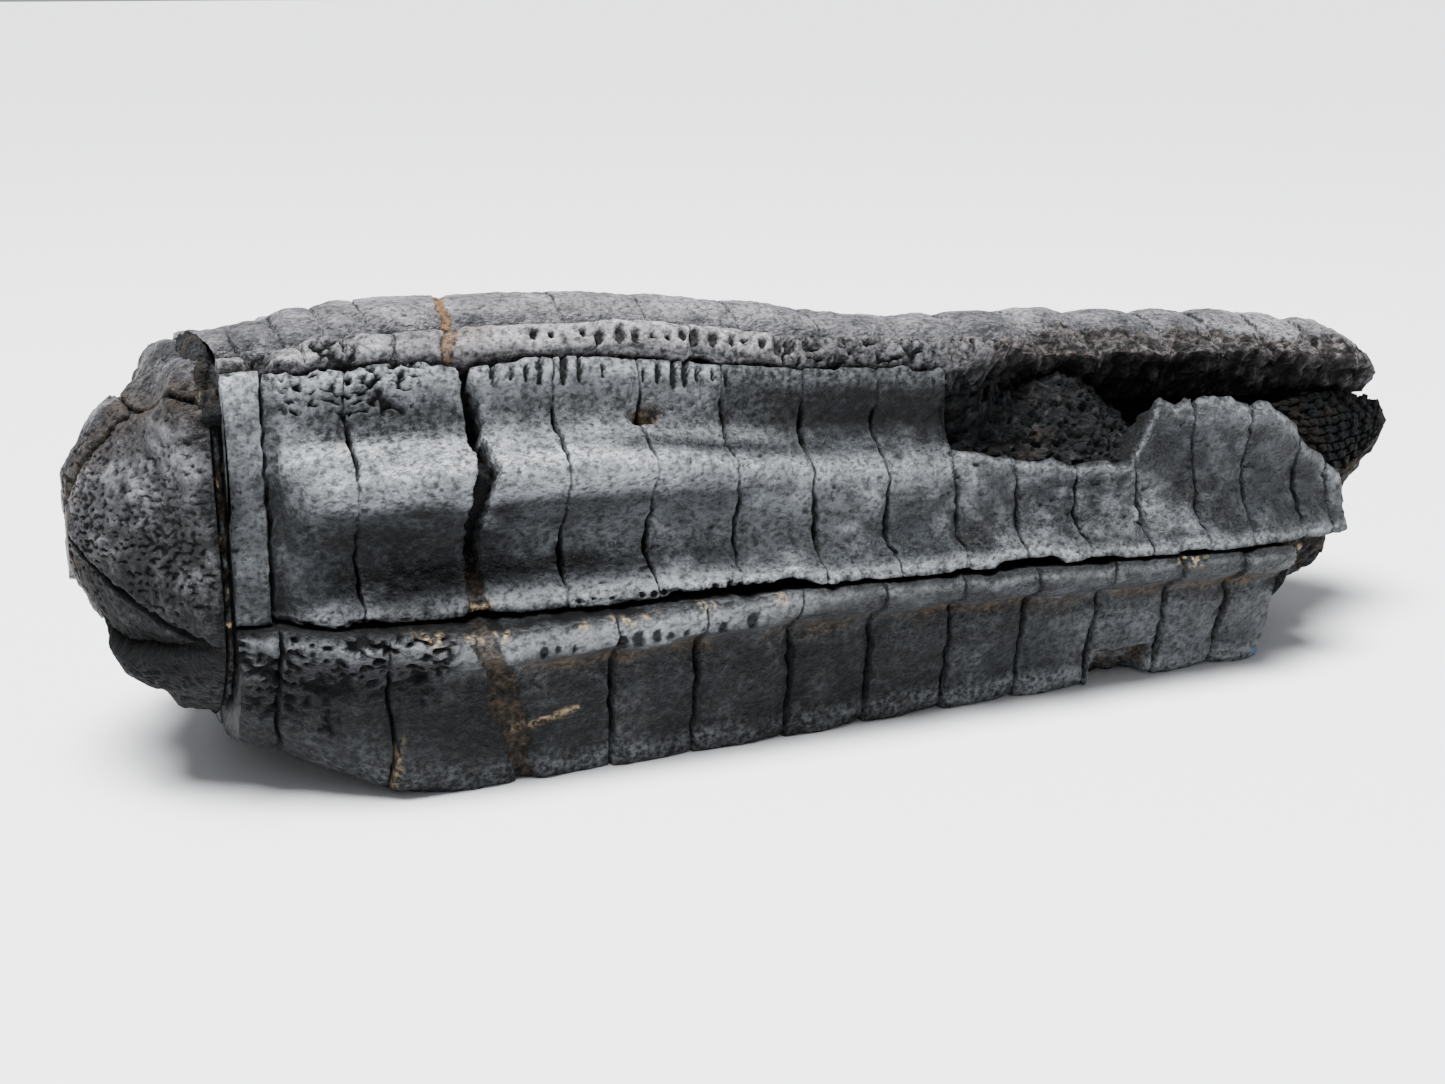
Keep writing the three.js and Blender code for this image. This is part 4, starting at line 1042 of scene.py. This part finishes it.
build_patch(
    "bare_sediment", columns=120, rows=150, x_range=(11.2, 46),
    low=lambda x: np.interp(x, *FRONT_BREAK) - 1.5,
    high=lambda x: np.maximum(np.interp(x, *TOP_BREAK), np.interp(x, *SEAMS["top_front"])) + 6,
    inner=along(12), outer=lambda x, share: np.interp(share, *BARE_RADIUS)
    + 6 * ramp(share, 0.25, 0.85) * ramp(-x, -27, -15) - 5 * ramp(x, 36, 45),
    seed=700, bumps=(1.0, 2.4), marks_of=bare_marks)


def lump_marks(x, share, place):
    return {"mud": 0.5 * spots(place, 4, 101, -0.2, 0.4),
            "dirt_and_shade": 0.4 * spots(place, 1.4, 103, 0.0, 0.5),
            "wear_and_highlight": 0.3 * spots(place, 2.5, 105, 0.1, 0.5),
            "cream": 0.5 * spots(place, 2, 107, 0.5, 0.7)}


build_patch(
    "corner_sediment", columns=70, rows=30, x_range=(-84.5, -81.6), low=along(46), high=along(84),
    inner=along(25), outer=lambda x, share: np.interp(share, *CORNER_RADIUS),
    seed=710, bumps=(0.9, 2.0), marks_of=lump_marks)
build_patch(
    "end_lump", columns=90, rows=70, x_range=(62.5, 80), low=along(-64), high=along(-3),
    inner=along((64, 80), (12, 8)),
    outer=lambda x, share: np.interp(share, *LUMP_RADIUS) - 0.3 * (x - 64.2),
    seed=720, bumps=(0.8, 4.0), marks_of=lump_marks)


# Pinnule bundle. The small side branches of the arms, folded in when the crown closed and packed side
# by side at the tip, where they look like courses of tiny bricks.

# Fine calcite ossicles in black mud, dull with a grey bloom on the block tops.
packed_pinnules = stone("packed_pinnule_calcite", ("#030404", "#070809", "#101112", "#26282a"),
                        (0.6, 0.85), "#2e261b", 0.06)
BRICK_LONG, BRICK_RISE, BRICK_GROOVE = 1.9, 0.35, 0.9  # mm
BRICK_COURSES = 9


def bricks(x, share):
    """Grooves between courses and between the blocks of each course, mm."""
    course = share * BRICK_COURSES + 0.25 * np.sin(x * 0.35)
    block = (x + 3 * share) / BRICK_LONG + 0.5 * (np.floor(course) % 2)
    across = np.abs(course - np.floor(course) - 0.5) * 2
    lengthways = np.abs(block - np.floor(block) - 0.5) * 2
    tilt = 0.35 * np.sin(7.3 * np.floor(course) + 3.1 * np.floor(block))
    groove = np.maximum(ramp(across, 0.72, 0.98), ramp(lengthways, 0.76, 0.98))
    return BRICK_RISE + tilt - BRICK_GROOVE * groove


def pinnule_marks(x, share, place):
    groove = ramp(-bricks(x, share), 0.0, 0.45)
    return {"dirt_and_shade": np.maximum(groove, 0.3), "wear_and_highlight": 0.3 * (1 - groove),
            "mud": 0.35 * spots(place, 5, 111, 0.0, 0.5)}


low_side = along((61, 76, 88, 96.5), (19.6, 19.4, 12.6, 11.2))
high_side = along((61, 76, 88, 96.5), (19.6, 20, 17.4, 14.2))
build_patch(
    "pinnule_bundle", columns=130, rows=200, x_range=(61, 96.5),
    low=along((61, 66, 71, 75, 82, 88, 92, 96.5), (38.5, 32, 26, 21, 22, 31, 42, 60)),
    high=along((61, 70, 80, 96.5), (46, 52, 60, 70)), inner=along((61, 80, 95), (12, 9, 8)),
    outer=lambda x, share: low_side(x) * (1 - share) + high_side(x) * share,
    seed=740, bumps=(0.25, 2.5), marks_of=pinnule_marks, material=packed_pinnules, step=bricks)


# Table and studio. A white laminate table top, under daylight from the room, from a window and from
# the sun behind thin cloud.

# Matt white laminate: even and dull, so that only the soft shadow shows.
laminate = bpy.data.materials.new("matt_white_laminate")
laminate.use_nodes = True
laminate_surface = laminate.node_tree.nodes["Principled BSDF"]
laminate_surface.inputs["Base Color"].default_value = colour("#f1f2f4")
laminate_surface.inputs["Roughness"].default_value = 0.55
TABLE_HALF = 6  # metres, so that its edge stays far off
bm = bmesh.new()
bmesh.ops.create_grid(bm, x_segments=1, y_segments=1, size=TABLE_HALF)
table_mesh = bpy.data.meshes.new("table_top")
bm.to_mesh(table_mesh)
bm.free()
table_mesh.materials.append(laminate)
table = placed("table_top", table_mesh)

# Even light from the room, a window above and to the left, and soft sun, whose width is in degrees.
ROOM_LIGHT = 0.45
WINDOW_PLACE, WINDOW_SIDE, WINDOW_WATTS = (-0.12, -0.03, 0.8), 0.3, 10
SUN_LIGHT, SUN_WIDTH, SUN_TILT = 10, 32, (5, -10, 0)
LIT_POINT = np.array([0, 0, 0.025])
world = bpy.data.worlds.new("soft_daylight")
world.use_nodes = True
sky = world.node_tree.nodes["Background"]
sky.inputs["Color"].default_value = colour("#f2f5fa")
sky.inputs["Strength"].default_value = ROOM_LIGHT
bpy.context.scene.world = world


def facing(direction):
    """The turn that points a lamp or a camera in a direction."""
    return Vector(direction.tolist()).to_track_quat("-Z", "Y").to_euler()


window = bpy.data.lights.new("window", "AREA")
window.shape = "SQUARE"
window.size = WINDOW_SIDE
window.energy = WINDOW_WATTS
window_holder = placed("window", window)
window_holder.location = WINDOW_PLACE
window_holder.rotation_euler = facing(LIT_POINT - np.array(WINDOW_PLACE))
sun = bpy.data.lights.new("daylight", "SUN")
sun.energy = SUN_LIGHT
sun.angle = math.radians(SUN_WIDTH)
sun_holder = placed("daylight", sun)
sun_holder.rotation_euler = [math.radians(turned) for turned in SUN_TILT]

# The camera looks down at the crown from the stem's side: where it aims, its angles, distance and lens.
CAMERA_TARGET = np.array([-12.0, 0.0, 19.635]) + SHIFT
CAMERA_AZIMUTH, CAMERA_ELEVATION, CAMERA_DISTANCE = math.radians(-22), math.radians(16), 280.5
LENS_MM, SENSOR_MM, NEAREST_M = 50, 36, 0.01
back = np.array([math.sin(CAMERA_AZIMUTH) * math.cos(CAMERA_ELEVATION),
                 -math.cos(CAMERA_AZIMUTH) * math.cos(CAMERA_ELEVATION), math.sin(CAMERA_ELEVATION)])
lens = bpy.data.cameras.new("camera")
lens.lens = LENS_MM
lens.sensor_width = SENSOR_MM
lens.clip_start = NEAREST_M
camera = placed("camera", lens)
camera.location = (CAMERA_TARGET + back * CAMERA_DISTANCE) * MM
camera.rotation_euler = facing(-back)
bpy.context.scene.camera = camera
